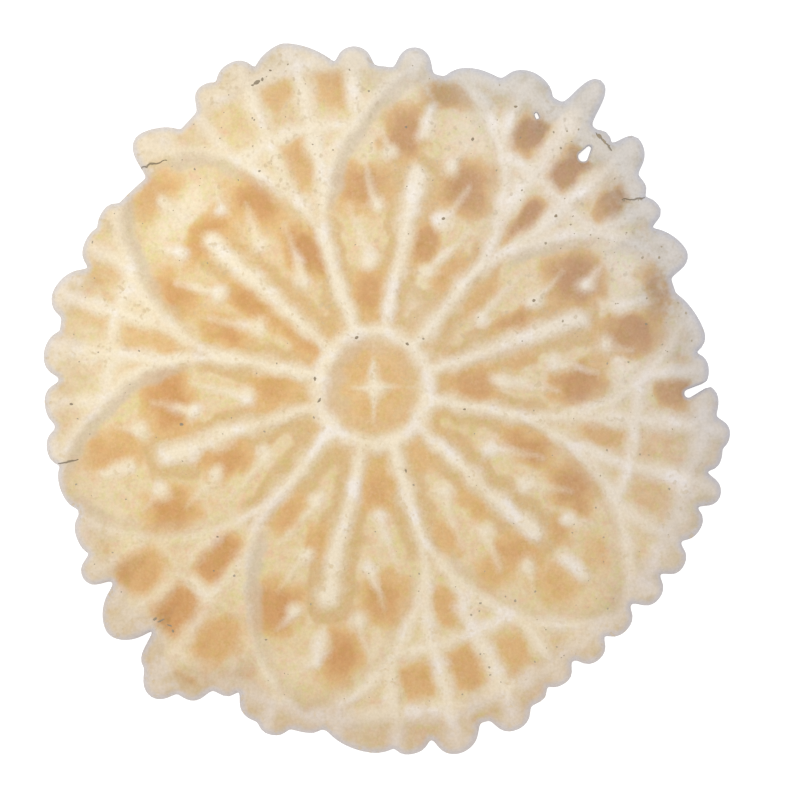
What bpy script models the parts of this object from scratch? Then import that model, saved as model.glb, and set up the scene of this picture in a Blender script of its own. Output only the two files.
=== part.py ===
"""A pizzelle: a thin round wafer cookie pressed between two engraved iron plates.

The cookie lies flat on Z = 0 with the middle of its pattern on the Z axis. Six petals stand round a
hub ring, each with a club-shaped rib, a dash and three pairs of teardrops. A fan of radial ribs and
cross arcs fills the gaps between the petals, and batter has run out past it in uneven knobs.
Both plates carry the same pattern, so the relief stands on both sides of a thin web.
Sizes are in millimetres and bearings in degrees from +X, counted towards +Y.
"""
import math

import bmesh
import bpy
import numpy as np

MM = 0.001

# Thickness of the wafer, from the surface it lies on upwards.
RELIEF = 0.9              # height of the tallest ridges above the web, on either side
WEB = 1.4                 # the thin floor between the ridges
THICKNESS = WEB + 2 * RELIEF
MID_PLANE = THICKNESS / 2
SUNK = 0.3                # how deep each ridge's foot goes into the web
CREST = 0.52              # width of a ridge's flat crest as a share of its foot
ARC_OVERLAP = 1.0         # degrees by which an arc runs into what it meets

# Layout of the pattern.
PETALS = 6
SECTOR = 360 / PETALS
FIRST_PETAL = 18.2        # bearing of the first petal's axis
FIRST_GAP = FIRST_PETAL + SECTOR / 2

# Hub: a ring round a sunken disc, with a four-pointed star.
HUB_RADIUS = 10.2         # middle of the ring
HUB_HALF_WIDTH = 1.35
STAR_ARM = 5.4
STAR_WAIST = 1.15         # distance of the star's inner corners from its middle
STAR_FLAT = 0.62          # size of the star's crest as a share of its foot
STAR_CENTRE = (0.4, -0.2)

# Petals: two arcs that leave the shared ribs at a tangent and meet in a pointed tip.
PETAL_HALF_WIDTH = 16.0
PETAL_WIDEST = 35.4       # distance of the widest place from the hub's middle
RIM_HALF_WIDTH = 1.2
HALF_SECTOR = math.radians(SECTOR / 2)
PETAL_ARC = (
    PETAL_WIDEST * math.sin(HALF_SECTOR) - PETAL_HALF_WIDTH * math.cos(HALF_SECTOR)
) / (1 - math.cos(HALF_SECTOR))
ARC_OFFSET = PETAL_ARC - PETAL_HALF_WIDTH
ARC_START = 24.0          # distance from the hub's middle where the arcs part from the shared rib
SHARED_RIB_END = 30.0

# Marks inside each petal.
CLUB_END = 39.3
CLUB_FOOT = (1.1, 2.0)    # half width at the hub and at the outer end
DASH = (46.9, 51.3)
DASH_FOOT = (1.35, 1.0)
DROP_SIDE = 5.8           # distance of the drops' heads from the petal's axis
DROPS = ((22.6, 10.4), (32.4, 8.0), (42.3, 4.8))  # distance out, and length of the tail
DROP_HEAD = 1.55
DROP_CREST_REACH = 0.75   # where the crest of the tail ends, as a share of its length
DROP_RELIEF = 0.75

# Lattice in the gaps between the petals.
FAN = (4.9, 14.6, 24.5)   # bearings of the radial ribs on either side of a gap's axis
FAN_HALF_WIDTH = 1.25
FAN_RELIEF = 0.8
CROSS_RADII = (48.2, 59.9)
CROSS_HALF_WIDTH = 1.05
CROSS_RELIEF = 0.7
FAN_REACH = 72.0          # past every knob, so that the rim trims it
SLAB_RADIUS = 80.0        # the slab is trimmed too
SLAB_CORNERS = 12

# Rim: knobs of batter that ran out past the lattice. Each has the bearing and distance of its tip,
# the degrees over which it rises and falls, and the distance of the web's own edge after it.
KNOBS = (
    (3.1, 61.1, 2.8, 3.0, 58.5), (9.2, 61.1, 2.9, 8.0, 57.6), (23.6, 62.2, 3.1, 6.4, 57.7),
    (32.3, 61.6, 2.2, 2.7, 60.1), (37.6, 61.8, 2.3, 2.2, 61.6), (43.3, 66.2, 4.2, 2.0, 62.0),
    (47.4, 62.9, 1.3, 1.4, 62.0), (53.4, 69.6, 2.7, 2.6, 62.3), (62.7, 64.3, 4.2, 4.4, 61.0),
    (70.8, 61.0, 3.0, 6.2, 58.0), (82.8, 62.4, 3.3, 3.3, 58.3), (93.5, 62.2, 3.4, 3.1, 59.2),
    (104.9, 64.8, 8.3, 5.5, 61.6), (113.7, 64.6, 3.2, 3.5, 62.1), (119.4, 63.2, 2.1, 2.9, 59.6),
    (133.2, 62.8, 6.2, 3.7, 56.2), (147.0, 58.8, 2.6, 2.8, 57.9), (152.9, 58.8, 2.9, 4.0, 56.3),
    (163.7, 60.9, 6.0, 3.4, 58.2), (174.2, 60.3, 4.2, 3.8, 57.2), (182.7, 59.9, 3.4, 3.6, 58.4),
    (191.0, 60.5, 3.3, 2.8, 58.7), (197.8, 59.9, 3.6, 4.4, 58.1), (208.0, 60.6, 4.4, 2.1, 59.8),
    (213.4, 63.2, 2.8, 2.7, 59.3), (222.9, 65.9, 5.6, 4.8, 58.8), (230.8, 65.8, 2.7, 3.0, 63.0),
    (234.2, 69.3, 4.2, 3.2, 64.0), (238.4, 66.2, 3.0, 3.2, 62.6), (243.4, 62.4, 2.0, 2.5, 60.2),
    (250.2, 64.4, 3.7, 3.0, 63.4), (253.2, 65.9, 2.6, 2.8, 63.8), (258.2, 64.0, 2.6, 3.0, 62.8),
    (270.2, 66.5, 7.8, 3.2, 65.3), (275.5, 67.1, 2.1, 3.3, 65.0), (283.1, 68.4, 3.3, 4.2, 64.0),
    (292.8, 67.5, 3.2, 3.2, 64.6), (297.6, 64.7, 2.0, 2.2, 63.0), (302.8, 64.1, 2.4, 2.6, 61.6),
    (309.6, 64.3, 2.8, 2.8, 61.8), (316.2, 63.8, 2.9, 3.1, 61.2), (323.6, 64.6, 3.0, 2.8, 62.2),
    (330.0, 65.1, 2.6, 2.8, 62.6), (337.2, 64.8, 3.4, 2.2, 62.7), (342.6, 66.1, 2.5, 2.9, 62.3),
    (348.7, 64.6, 2.6, 1.9, 63.9), (352.2, 65.4, 2.1, 2.7, 62.4), (357.4, 62.8, 2.4, 3.2, 59.5),
)
KNOB_ROUND = 2.6          # power of a knob's rounded side, if it were no wider than a line
KNOB_ROUND_LOSS = 0.17    # how much less that is for each degree of width, as wide sides slope evenly
EDGE_EASE = 0.35          # degrees over which the corners between knobs are eased
FINE_STEP = 0.25          # bearing step at which the rim is worked out
EASE_STEPS = 5            # how many steps the blur reaches to either side
RIM_STEP = 2.1            # spacing of the rim's points along the edge
EDGE_LEVELS = ((0.0, 0.7), (0.7, 0.0))  # height, and how far the edge is drawn in there

# Holes that the batter left: each tapers between two circles, given as distance, bearing and radius.
HOLES = (
    ((56.7, 47.75, 0.9), (58.5, 48.0, 0.4)),
    ((57.4, 58.75, 0.3), (57.75, 59.2, 0.3)),
    ((57.3, 358.9, 0.75), (61.5, 0.9, 0.3)),
)


def polar(radius, bearing):
    """The point at that distance and bearing from the hub's middle."""
    angle = math.radians(bearing)
    return np.array((radius * math.cos(angle), radius * math.sin(angle)))


def rim_radius(bearings):
    """Distance of the cookie's edge at each bearing: the farthest of the web's edge and the knobs."""
    dips = [((bearing + fall) % 360, dip) for bearing, _, _, fall, dip in KNOBS]
    web = np.interp(bearings, *zip(*dips), period=360)
    radius = web
    for bearing, reach, rise, fall, _ in KNOBS:
        away = (bearings - bearing + 180) % 360 - 180
        width = np.where(away < 0, rise, fall)
        power = KNOB_ROUND - KNOB_ROUND_LOSS * width
        share = np.minimum(abs(away) / width, 1)
        knob = web + (reach - web) * (1 - share**power) ** (1 / power)
        radius = np.maximum(radius, knob)
    return radius


def rim_points():
    """The edge as points about RIM_STEP apart, with the corners between knobs eased by a short blur."""
    bearings = np.arange(0, 360, FINE_STEP)
    sharp = rim_radius(bearings)
    shifts = np.arange(-EASE_STEPS, EASE_STEPS + 1)
    weights = np.exp(-0.5 * (shifts * FINE_STEP / EDGE_EASE) ** 2)
    radius = sum(w * np.roll(sharp, k) for k, w in zip(shifts, weights / weights.sum()))
    angles = np.radians(np.append(bearings, 360))
    radius = np.append(radius, radius[0])
    points = np.stack([radius * np.cos(angles), radius * np.sin(angles)], axis=1)
    along = np.insert(np.cumsum(np.linalg.norm(np.diff(points, axis=0), axis=1)), 0, 0)
    count = round(along[-1] / RIM_STEP)
    stops = np.arange(count) * along[-1] / count
    return np.stack([np.interp(stops, along, points[:, k]) for k in range(2)], axis=1)


def new_object(name, bm):
    """Puts a bmesh into an object, with its faces turned outwards."""
    bmesh.ops.recalc_face_normals(bm, faces=bm.faces)
    mesh = bpy.data.meshes.new(name)
    bm.to_mesh(mesh)
    bm.free()
    obj = bpy.data.objects.new(name, mesh)
    bpy.context.scene.collection.objects.link(obj)
    return obj


def stack(name, outlines, heights):
    """A closed solid through outlines of equal length, one at each height."""
    bm = bmesh.new()
    rings = [
        [bm.verts.new((x * MM, y * MM, z * MM)) for x, y in outline]
        for outline, z in zip(outlines, heights)
    ]
    for low, high in zip(rings, rings[1:]):
        for k in range(len(low)):
            after = (k + 1) % len(low)
            bm.faces.new((low[k], low[after], high[after], high[k]))
    bm.faces.new(rings[0][::-1])
    bm.faces.new(rings[-1])
    return new_object(name, bm)


def half_circle(centre, radius, along, steps):
    """Points round the half of a circle that faces along the given way."""
    across = np.array((-along[1], along[0]))
    turns = [math.pi * k / steps for k in range(steps + 1)]
    return [centre + radius * (math.sin(t) * along - math.cos(t) * across) for t in turns]


def capsule(start, end, start_radius, end_radius, steps):
    """Outline round two circles of different radius, with a half circle at each end."""
    along = (end - start) / np.linalg.norm(end - start)
    return half_circle(end, end_radius, along, steps) + half_circle(start, start_radius, -along, steps)


class Plate:
    """One engraved plate's ridges: it stands them on the web's upper or lower face."""

    def __init__(self, name, side, ridges):
        self.name = name
        self.side = side
        self.ridges = ridges

    def heights(self, relief):
        """Levels of a ridge's foot and crest."""
        return [MID_PLANE + self.side * (WEB / 2 - SUNK), MID_PLANE + self.side * (WEB / 2 + relief)]

    def add(self, name, foot, crest, relief):
        """Stands one ridge, given the outlines of its foot and crest."""
        ridge = stack(f"{self.name}_{name}", (foot, crest), self.heights(relief))
        bpy.context.scene.collection.objects.unlink(ridge)
        self.ridges.objects.link(ridge)

    def rib(self, name, start, end, radii, relief=RELIEF, steps=3):
        """A straight ridge with round ends, which may taper."""
        foot = capsule(start, end, *radii, steps)
        crest = capsule(start, end, radii[0] * CREST, radii[1] * CREST, steps)
        self.add(name, foot, crest, relief)

    def arc(self, name, centre, radius, bearings, half_width, relief=RELIEF, steps=6):
        """A ridge that follows an arc, with blunt ends."""
        first, last = bearings
        stops = [first + (last - first) * k / steps for k in range(steps + 1)]
        outlines = []
        for width in (half_width, half_width * CREST):
            outer = [centre + polar(radius + width, b) for b in stops]
            inner = [centre + polar(radius - width, b) for b in stops]
            outlines.append(outer + inner[::-1])
        self.add(name, *outlines, relief)

    def hub(self):
        """The ring round the hub, in two halves, and the star in its middle."""
        for half, first in enumerate((0, 180)):
            bearings = (first - ARC_OVERLAP, first + 180 + ARC_OVERLAP)
            self.arc(f"hub_ring_{half}", np.zeros(2), HUB_RADIUS, bearings, HUB_HALF_WIDTH, steps=11)
        outlines = []
        for size in (1, STAR_FLAT):
            outlines.append([
                np.array(STAR_CENTRE) + size * polar(STAR_WAIST if k % 2 else STAR_ARM, 45 * k)
                for k in range(8)
            ])
        self.add("star", *outlines, RELIEF)

    def petal(self, number):
        """A petal's rim, its club, its dash and its teardrops."""
        axis = FIRST_PETAL + SECTOR * number
        out, across = polar(1, axis), polar(1, axis - 90)
        self.rib(f"club_{number}", HUB_RADIUS * out, CLUB_END * out, CLUB_FOOT)
        self.rib(f"dash_{number}", DASH[0] * out, DASH[1] * out, DASH_FOOT)
        start = math.degrees(math.asin((PETAL_WIDEST - ARC_START * math.cos(HALF_SECTOR)) / PETAL_ARC))
        tip = math.degrees(math.acos(ARC_OFFSET / PETAL_ARC))
        for hand in (-1, 1):
            centre = PETAL_WIDEST * out - hand * ARC_OFFSET * across
            facing = axis - 90 * hand
            bearings = (facing - hand * start, facing + hand * (tip + ARC_OVERLAP))
            self.arc(f"rim_{number}_{hand}", centre, PETAL_ARC, bearings, RIM_HALF_WIDTH)
            lean = polar(1, axis - hand * SECTOR / 2)
            for k, (distance, tail) in enumerate(DROPS):
                head = distance * out + hand * DROP_SIDE * across
                outlines = [
                    half_circle(head, DROP_HEAD * size, -lean, 3) + [head + tail * reach * lean]
                    for size, reach in ((1, 1), (CREST, DROP_CREST_REACH))
                ]
                self.add(f"drop_{number}_{hand}_{k}", *outlines, DROP_RELIEF)

    def gap(self, number):
        """The rib that two petals share, and the lattice outside it."""
        axis = FIRST_GAP + SECTOR * number
        self.rib(f"shared_{number}", polar(HUB_RADIUS, axis), polar(SHARED_RIB_END, axis),
                 (RIM_HALF_WIDTH + 0.05,) * 2, steps=2)
        for hand in (-1, 1):
            for k, turn in enumerate(FAN):
                start = petal_rim_distance(SECTOR / 2 - turn)
                bearing = axis + hand * turn
                self.rib(f"fan_{number}_{hand}_{k}", polar(start, bearing), polar(FAN_REACH, bearing),
                         (FAN_HALF_WIDTH,) * 2, FAN_RELIEF, steps=2)
        for k, radius in enumerate(CROSS_RADII):
            spread = SECTOR / 2 - petal_rim_bearing(radius)
            self.arc(f"cross_{number}_{k}", np.zeros(2), radius, (axis - spread, axis + spread),
                     CROSS_HALF_WIDTH, CROSS_RELIEF, steps=5)


def petal_rim_distance(bearing):
    """Distance of a petal's rim from the hub's middle, at a bearing from the petal's axis."""
    angle = math.radians(bearing)
    along = PETAL_WIDEST * math.cos(angle) - ARC_OFFSET * math.sin(angle)
    return along + math.sqrt(max(along**2 - PETAL_WIDEST**2 - ARC_OFFSET**2 + PETAL_ARC**2, 0))


def petal_rim_bearing(distance):
    """Bearing from the petal's axis at which its rim is that far from the hub's middle."""
    bearings = np.linspace(0, SECTOR / 2, 301)
    distances = [petal_rim_distance(b) for b in bearings]
    return float(np.interp(-distance, [-d for d in distances], bearings))


def hidden(obj):
    """Marks a cutter or a ridge that a Boolean takes in, so that it isn't a part of its own."""
    obj.hide_render = True
    obj.display_type = "WIRE"
    return obj


def boolean(obj, operation, operand):
    """Adds an exact Boolean with one object or a collection of them."""
    modifier = obj.modifiers.new(operation.title(), "BOOLEAN")
    modifier.operation = operation
    modifier.solver = "EXACT"
    if isinstance(operand, bpy.types.Collection):
        modifier.operand_type = "COLLECTION"
        modifier.collection = operand
    else:
        modifier.object = operand


def rim_trim():
    """A solid with the cookie's outline and softened corners, which trims the slab and its ridges."""
    rim = rim_points()
    distance = np.linalg.norm(rim, axis=1, keepdims=True)
    levels = [(height, drawn_in) for height, drawn_in in EDGE_LEVELS]
    levels += [(THICKNESS - height, drawn_in) for height, drawn_in in reversed(EDGE_LEVELS)]
    outlines = [rim * (1 - drawn_in / distance) for _, drawn_in in levels]
    return stack("rim_trim", outlines, [height for height, _ in levels])


def hole(number, inner, outer):
    """A cutter for a hole or a notch in the web, round at both ends."""
    ends = [polar(distance, bearing) for distance, bearing, _ in (inner, outer)]
    outline = capsule(*ends, inner[2], outer[2], 4)
    return hidden(stack(f"hole_{number}", (outline, outline), (-1, THICKNESS + 1)))


def batter():
    """Pale baked batter."""
    material = bpy.data.materials.new("baked_batter")
    material.use_nodes = True
    shader = material.node_tree.nodes["Principled BSDF"]
    shader.inputs["Base Color"].default_value = (0.745, 0.578, 0.371, 1)
    shader.inputs["Roughness"].default_value = 0.75
    return material


def main():
    """Builds the cookie as one solid."""
    for obj in list(bpy.data.objects):
        bpy.data.objects.remove(obj)
    ridges = bpy.data.collections.new("ridges")
    bpy.context.scene.collection.children.link(ridges)
    for name, side in (("upper", 1), ("lower", -1)):
        plate = Plate(name, side, ridges)
        plate.hub()
        for number in range(PETALS):
            plate.petal(number)
            plate.gap(number)
    for ridge in ridges.objects:
        hidden(ridge)

    slab = [polar(SLAB_RADIUS, 360 * k / SLAB_CORNERS) for k in range(SLAB_CORNERS)]
    cookie = stack("pizzelle", (slab, slab), (RELIEF, THICKNESS - RELIEF))
    boolean(cookie, "UNION", ridges)
    boolean(cookie, "INTERSECT", hidden(rim_trim()))
    for number, ends in enumerate(HOLES):
        boolean(cookie, "DIFFERENCE", hole(number, *ends))
    cookie.data.materials.append(batter())


if __name__ == "__main__":
    main()
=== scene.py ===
"""The looks of a pizzelle: a thin round wafer cookie pressed between two engraved iron plates.

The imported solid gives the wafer's place and thickness. This script replaces it with one closed skin
whose ridges are rounded and uneven, dresses the skin as baked batter, and sets crumbs of char in it.
The hub's middle is on the Z axis and the wafer lies on Z = 0. Sizes are in millimetres and bearings
in degrees from +X, counted towards +Y, until a mesh is made in metres.
"""
import logging
import math
from dataclasses import astuple, dataclass, field
from enum import Enum

import bpy
import numpy as np
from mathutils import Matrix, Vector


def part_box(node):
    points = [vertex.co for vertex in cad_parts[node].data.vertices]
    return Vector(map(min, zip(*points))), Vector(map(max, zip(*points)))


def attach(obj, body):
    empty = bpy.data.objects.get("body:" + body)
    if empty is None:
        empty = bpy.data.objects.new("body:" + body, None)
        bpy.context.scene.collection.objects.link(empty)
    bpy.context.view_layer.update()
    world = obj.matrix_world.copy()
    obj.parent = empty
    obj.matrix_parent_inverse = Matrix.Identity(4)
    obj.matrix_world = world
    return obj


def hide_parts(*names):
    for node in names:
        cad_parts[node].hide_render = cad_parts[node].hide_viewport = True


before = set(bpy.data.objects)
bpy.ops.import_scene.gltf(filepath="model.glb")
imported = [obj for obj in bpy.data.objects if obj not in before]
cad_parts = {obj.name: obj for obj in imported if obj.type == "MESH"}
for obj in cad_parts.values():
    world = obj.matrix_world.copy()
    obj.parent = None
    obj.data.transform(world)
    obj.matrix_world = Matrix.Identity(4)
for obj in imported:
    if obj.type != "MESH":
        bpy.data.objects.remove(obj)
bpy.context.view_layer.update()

LOG = logging.getLogger("pizzelle")
MM = 0.001
FULL_TURN = 360.0
HALF_TURN = 180.0
NODE = "pizzelle"
BODY = "root"

Array = np.ndarray
Point = tuple[float, float]
Colour = tuple[float, float, float, float]


class Side(Enum):
    """The two faces of the wafer, by the sign of their normal."""

    UPPER = 1
    LOWER = -1


# Shape helpers ------------------------------------------------------------------------------------


def polar(radius: float, bearing: float) -> Array:
    """The point at that distance and bearing from the hub's middle."""
    angle = math.radians(bearing)
    return radius * np.array((math.cos(angle), math.sin(angle)))


def eased(share: Array) -> Array:
    """Rises from nought to one with level ends: three squares less two cubes of the clipped share."""
    held = np.clip(share, 0, 1)
    return held * held * (3 - 2 * held)


def between(values: Array, low: float, high: float) -> Array:
    """The eased share of the way that each value is from low to high."""
    return eased((values - low) / (high - low))


def bell(reach: Array) -> Array:
    """A ridge's rounded section: half a cosine wave, from one on its middle line to nought at reach 1."""
    return 0.5 + 0.5 * np.cos(math.pi * np.clip(reach, 0, 1))


def soft_maximum(parts: list[Array], power: float) -> Array:
    """The greatest of several heights, with fillets: the root of the sum of their powers."""
    return sum(part**power for part in parts) ** (1 / power)


def beside_line(x: Array, y: Array, start: Array, end: Array) -> tuple[Array, Array]:
    """How points lie beside a line: each is dropped at a right angle onto it, or onto its nearer end.

    Args:
        x, y: The points.
        start, end: Ends of the line.

    Returns:
        The share of the way along the line, and the distance from there.
    """
    run = np.asarray(end, float) - start
    share = np.clip(((x - start[0]) * run[0] + (y - start[1]) * run[1]) / (run @ run), 0, 1)
    return share, np.hypot(x - start[0] - share * run[0], y - start[1] - share * run[1])


def stroke(x: Array, y: Array, start: Array, end: Array, widths: Point) -> Array:
    """Distance of points from a stroke with round ends, as a share of its evenly tapering half width."""
    share, away = beside_line(x, y, start, end)
    return away / (widths[0] + share * (widths[1] - widths[0]))


@dataclass(frozen=True)
class Ripple:
    """Smooth unevenness: a sum of plane waves whose headings, lengths and phases come from a seed.

    Attributes:
        seed: Start of the random draws.
        length: Middle length of the waves.
        waves: How many waves are summed.
        spread: Length of the shortest and of the longest, as a share of the middle one.
    """

    seed: int
    length: float
    waves: int = 20
    spread: Point = (0.7, 1.5)

    def at(self, x: Array, y: Array) -> Array:
        """Height of the ripple at each point, about one either way.

        Args:
            x, y: The points.

        Returns:
            The sum of the waves' cosines over the root of half their number.
        """
        draw = np.random.default_rng(self.seed)
        heading = draw.uniform(0, 2 * math.pi, self.waves)
        pace = 2 * math.pi / (self.length * draw.uniform(*self.spread, self.waves))
        phase = draw.uniform(0, 2 * math.pi, self.waves)
        total = np.zeros(np.shape(x))
        for turn, step, first in zip(heading, pace, phase):
            total += np.cos(step * (x * math.cos(turn) + y * math.sin(turn)) + first)
        return total / math.sqrt(self.waves / 2)


# Finishes -----------------------------------------------------------------------------------------


def srgb(red: float, green: float, blue: float) -> Colour:
    """A colour given by its display values out of 255, as the linear values that shaders take.

    Args:
        red, green, blue: The display values.

    Returns:
        The linear colour, opaque.
    """
    shares = [value / 255 for value in (red, green, blue)]
    linear = [s / 12.92 if s <= 0.04045 else ((s + 0.055) / 1.055) ** 2.4 for s in shares]
    return (*linear, 1.0)


class Blend(Enum):
    """How one colour is laid on another."""

    MIX = "MIX"
    MULTIPLY = "MULTIPLY"


class Spread(Enum):
    """How values between two bounds are carried over."""

    EVEN = "LINEAR"
    SOFT = "SMOOTHSTEP"


@dataclass(frozen=True)
class Ramp:
    """How a value is carried over: low to start and high to end, and no farther either way."""

    low: float
    high: float
    start: float = 0.0
    end: float = 1.0
    kind: Spread = Spread.SOFT


class NodeBench:
    """Builds one material's nodes: each method adds a node, joins its inputs and gives its output."""

    def __init__(self, name: str) -> None:
        """Starts a material with its plain shader.

        Args:
            name: The material's name.
        """
        self.material = bpy.data.materials.new(name)
        self.material.use_nodes = True
        self.tree = self.material.node_tree
        self.shader = self.tree.nodes["Principled BSDF"]

    def add(self, kind: str, inputs: dict | None = None, **settings: object) -> bpy.types.Node:
        """Adds a node.

        Args:
            kind: The node's type, without its common first word.
            inputs: What goes into its sockets, by name or number: another node's output or a value.
            settings: The node's own settings.

        Returns:
            The new node.
        """
        node = self.tree.nodes.new(f"ShaderNode{kind}")
        for label, value in settings.items():
            setattr(node, label, value)
        for socket, value in (inputs or {}).items():
            self.join(node.inputs[socket], value)
        return node

    def join(self, socket: bpy.types.NodeSocket, value: object) -> None:
        """Joins an output to a socket, or sets the socket to a value.

        Args:
            socket: The socket.
            value: The output or the value.
        """
        if isinstance(value, bpy.types.NodeSocket):
            self.tree.links.new(value, socket)
        else:
            socket.default_value = value

    def place(self) -> bpy.types.NodeSocket:
        """Where each point is on the piece, in millimetres."""
        where = self.add("TexCoord").outputs["Object"]
        return self.vector("SCALE", {0: where, "Scale": 1 / MM})

    def finished(self, colour: object, rough: object, gloss: float, height: object) -> bpy.types.Material:
        """Joins up the shader.

        Args:
            colour: The colour.
            rough: The roughness.
            gloss: The specular level.
            height: The bumps, in millimetres.

        Returns:
            The material.
        """
        bump = self.add("Bump", {"Height": height, "Distance": MM, "Strength": 1.0})
        self.join(self.shader.inputs["Base Color"], colour)
        self.join(self.shader.inputs["Roughness"], rough)
        self.join(self.shader.inputs["Specular IOR Level"], gloss)
        self.join(self.shader.inputs["Normal"], bump.outputs[0])
        return self.material

    def value(self, label: str) -> bpy.types.NodeSocket:
        """The value that the mesh holds for each point under that label."""
        return self.add("Attribute", attribute_name=label).outputs["Fac"]

    def vector(self, operation: str, inputs: dict, output: int | str = 0) -> bpy.types.NodeSocket:
        """One step of vector arithmetic."""
        return self.add("VectorMath", inputs, operation=operation).outputs[output]

    def sum_up(self, operation: str, *terms: object) -> bpy.types.NodeSocket:
        """One arithmetic step on two or three terms."""
        return self.add("Math", dict(enumerate(terms)), operation=operation).outputs[0]

    def spread(self, source: object, low: float, high: float, start: float = 0.0,
               end: float = 1.0, kind: Spread = Spread.SOFT) -> bpy.types.NodeSocket:
        """Carries low to start and high to end."""
        inputs = {"Value": source, "From Min": low, "From Max": high, "To Min": start, "To Max": end}
        return self.add("MapRange", inputs, interpolation_type=kind.value).outputs["Result"]

    def ramped(self, source: object, ramp: Ramp) -> bpy.types.NodeSocket:
        """Carries a value over as the ramp says."""
        return self.spread(source, *astuple(ramp))

    def layer(self, under: object, over: object, share: object,
              blend: Blend = Blend.MIX) -> bpy.types.NodeSocket:
        """Lays one colour on another by a share.

        Args:
            under, over: The two colours.
            share: How much of the upper one.
            blend: How it is laid on.

        Returns:
            The colour of both.
        """
        node = self.add("Mix", data_type="RGBA", blend_type=blend.value, clamp_factor=True)
        for socket, value in ((0, share), (6, under), (7, over)):
            self.join(node.inputs[socket], value)
        return node.outputs[2]

    def noise(self, place: object, size: float, detail: float = 2.0,
              seed: float = 0.0) -> bpy.types.NodeSocket:
        """Cloudy unevenness whose lumps are about that many millimetres across."""
        inputs = {"Vector": place, "W": seed, "Scale": 1 / size, "Detail": detail, "Roughness": 0.55}
        return self.add("TexNoise", inputs, noise_dimensions="4D").outputs["Fac"]

    def cracks(self, place: object, lines: tuple[tuple[Point, Point], ...], bend: float = 1.6,
               widths: Point = (0.08, 0.5)) -> bpy.types.NodeSocket:
        """Hairline cracks along straight lines in plan, which noise bends.

        Each crack's middle is the nearest point of its line: the way along the line, held between
        its ends. It is widest halfway and narrows where that share is nought or one.

        Args:
            place: Where on the piece, in millimetres.
            lines: The ends of each crack.
            bend: How far the noise moves them, in millimetres.
            widths: Half width at the ends, and how much it grows over the length.

        Returns:
            One in the cracks and nought beside them.
        """
        noise = self.add("TexNoise", {"Vector": place, "Scale": 0.5, "Detail": 2.0}).outputs["Color"]
        noise = self.vector("SUBTRACT", {0: noise, 1: (0.5,) * 3})
        bent = self.vector("MULTIPLY_ADD", {0: noise, 1: (bend,) * 3, 2: place})
        flat = self.vector("MULTIPLY", {0: bent, 1: (1, 1, 0)})
        found = 0.0
        for start, end in lines:
            run = np.subtract(end, start)
            away = self.vector("SUBTRACT", {0: flat, 1: (*start, 0)})
            share = self.vector("DOT_PRODUCT", {0: away, 1: (*(run / (run @ run)), 0)}, "Value")
            share = self.spread(share, 0, 1, 0, 1, Spread.EVEN)
            foot = self.vector("SCALE", {0: (*run, 0), "Scale": share})
            apart = self.vector("DISTANCE", {0: away, 1: foot}, "Value")
            width = self.sum_up("PINGPONG", share, 0.5)
            width = self.sum_up("MULTIPLY_ADD", width, widths[1], widths[0])
            found = self.sum_up("MAXIMUM", self.spread(apart, 0, width, 1, 0), found)
        return found


class Lumps(Enum):
    """The batter's unevenness, by how many millimetres its lumps are across."""

    BROAD = 24.0
    MIDDLE = 5.0
    SMALL = 1.4
    FINE = 0.5


@dataclass(frozen=True)
class Tone:
    """One colour of the batter, where the wafer is warm and where it is greyer."""

    warm: Colour
    grey: Colour


@dataclass(frozen=True)
class Clouds:
    """Cloudy noise that a colour is laid on by.

    Attributes:
        colour: The colour: a tone, or one that the colour below is multiplied by.
        size: How many millimetres across the clouds are.
        most: How much they cover at most.
        seed: Which clouds they are.
        detail: How ragged they are.
        bounds: Values of the noise at which they begin and are full.
    """

    colour: Tone | Colour
    size: float
    most: float
    seed: float
    detail: float = 2.0
    bounds: Point = (0.46, 0.7)


@dataclass(frozen=True)
class Drift:
    """A slow change across the wafer: its bearing, and how far that way it begins and is full."""

    bearing: float
    begin: float
    full: float


@dataclass(frozen=True)
class Mottle:
    """How uneven one of the mesh's values is made: its label, the lumps, and their share."""

    label: str
    lumps: Lumps
    share: float


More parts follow.
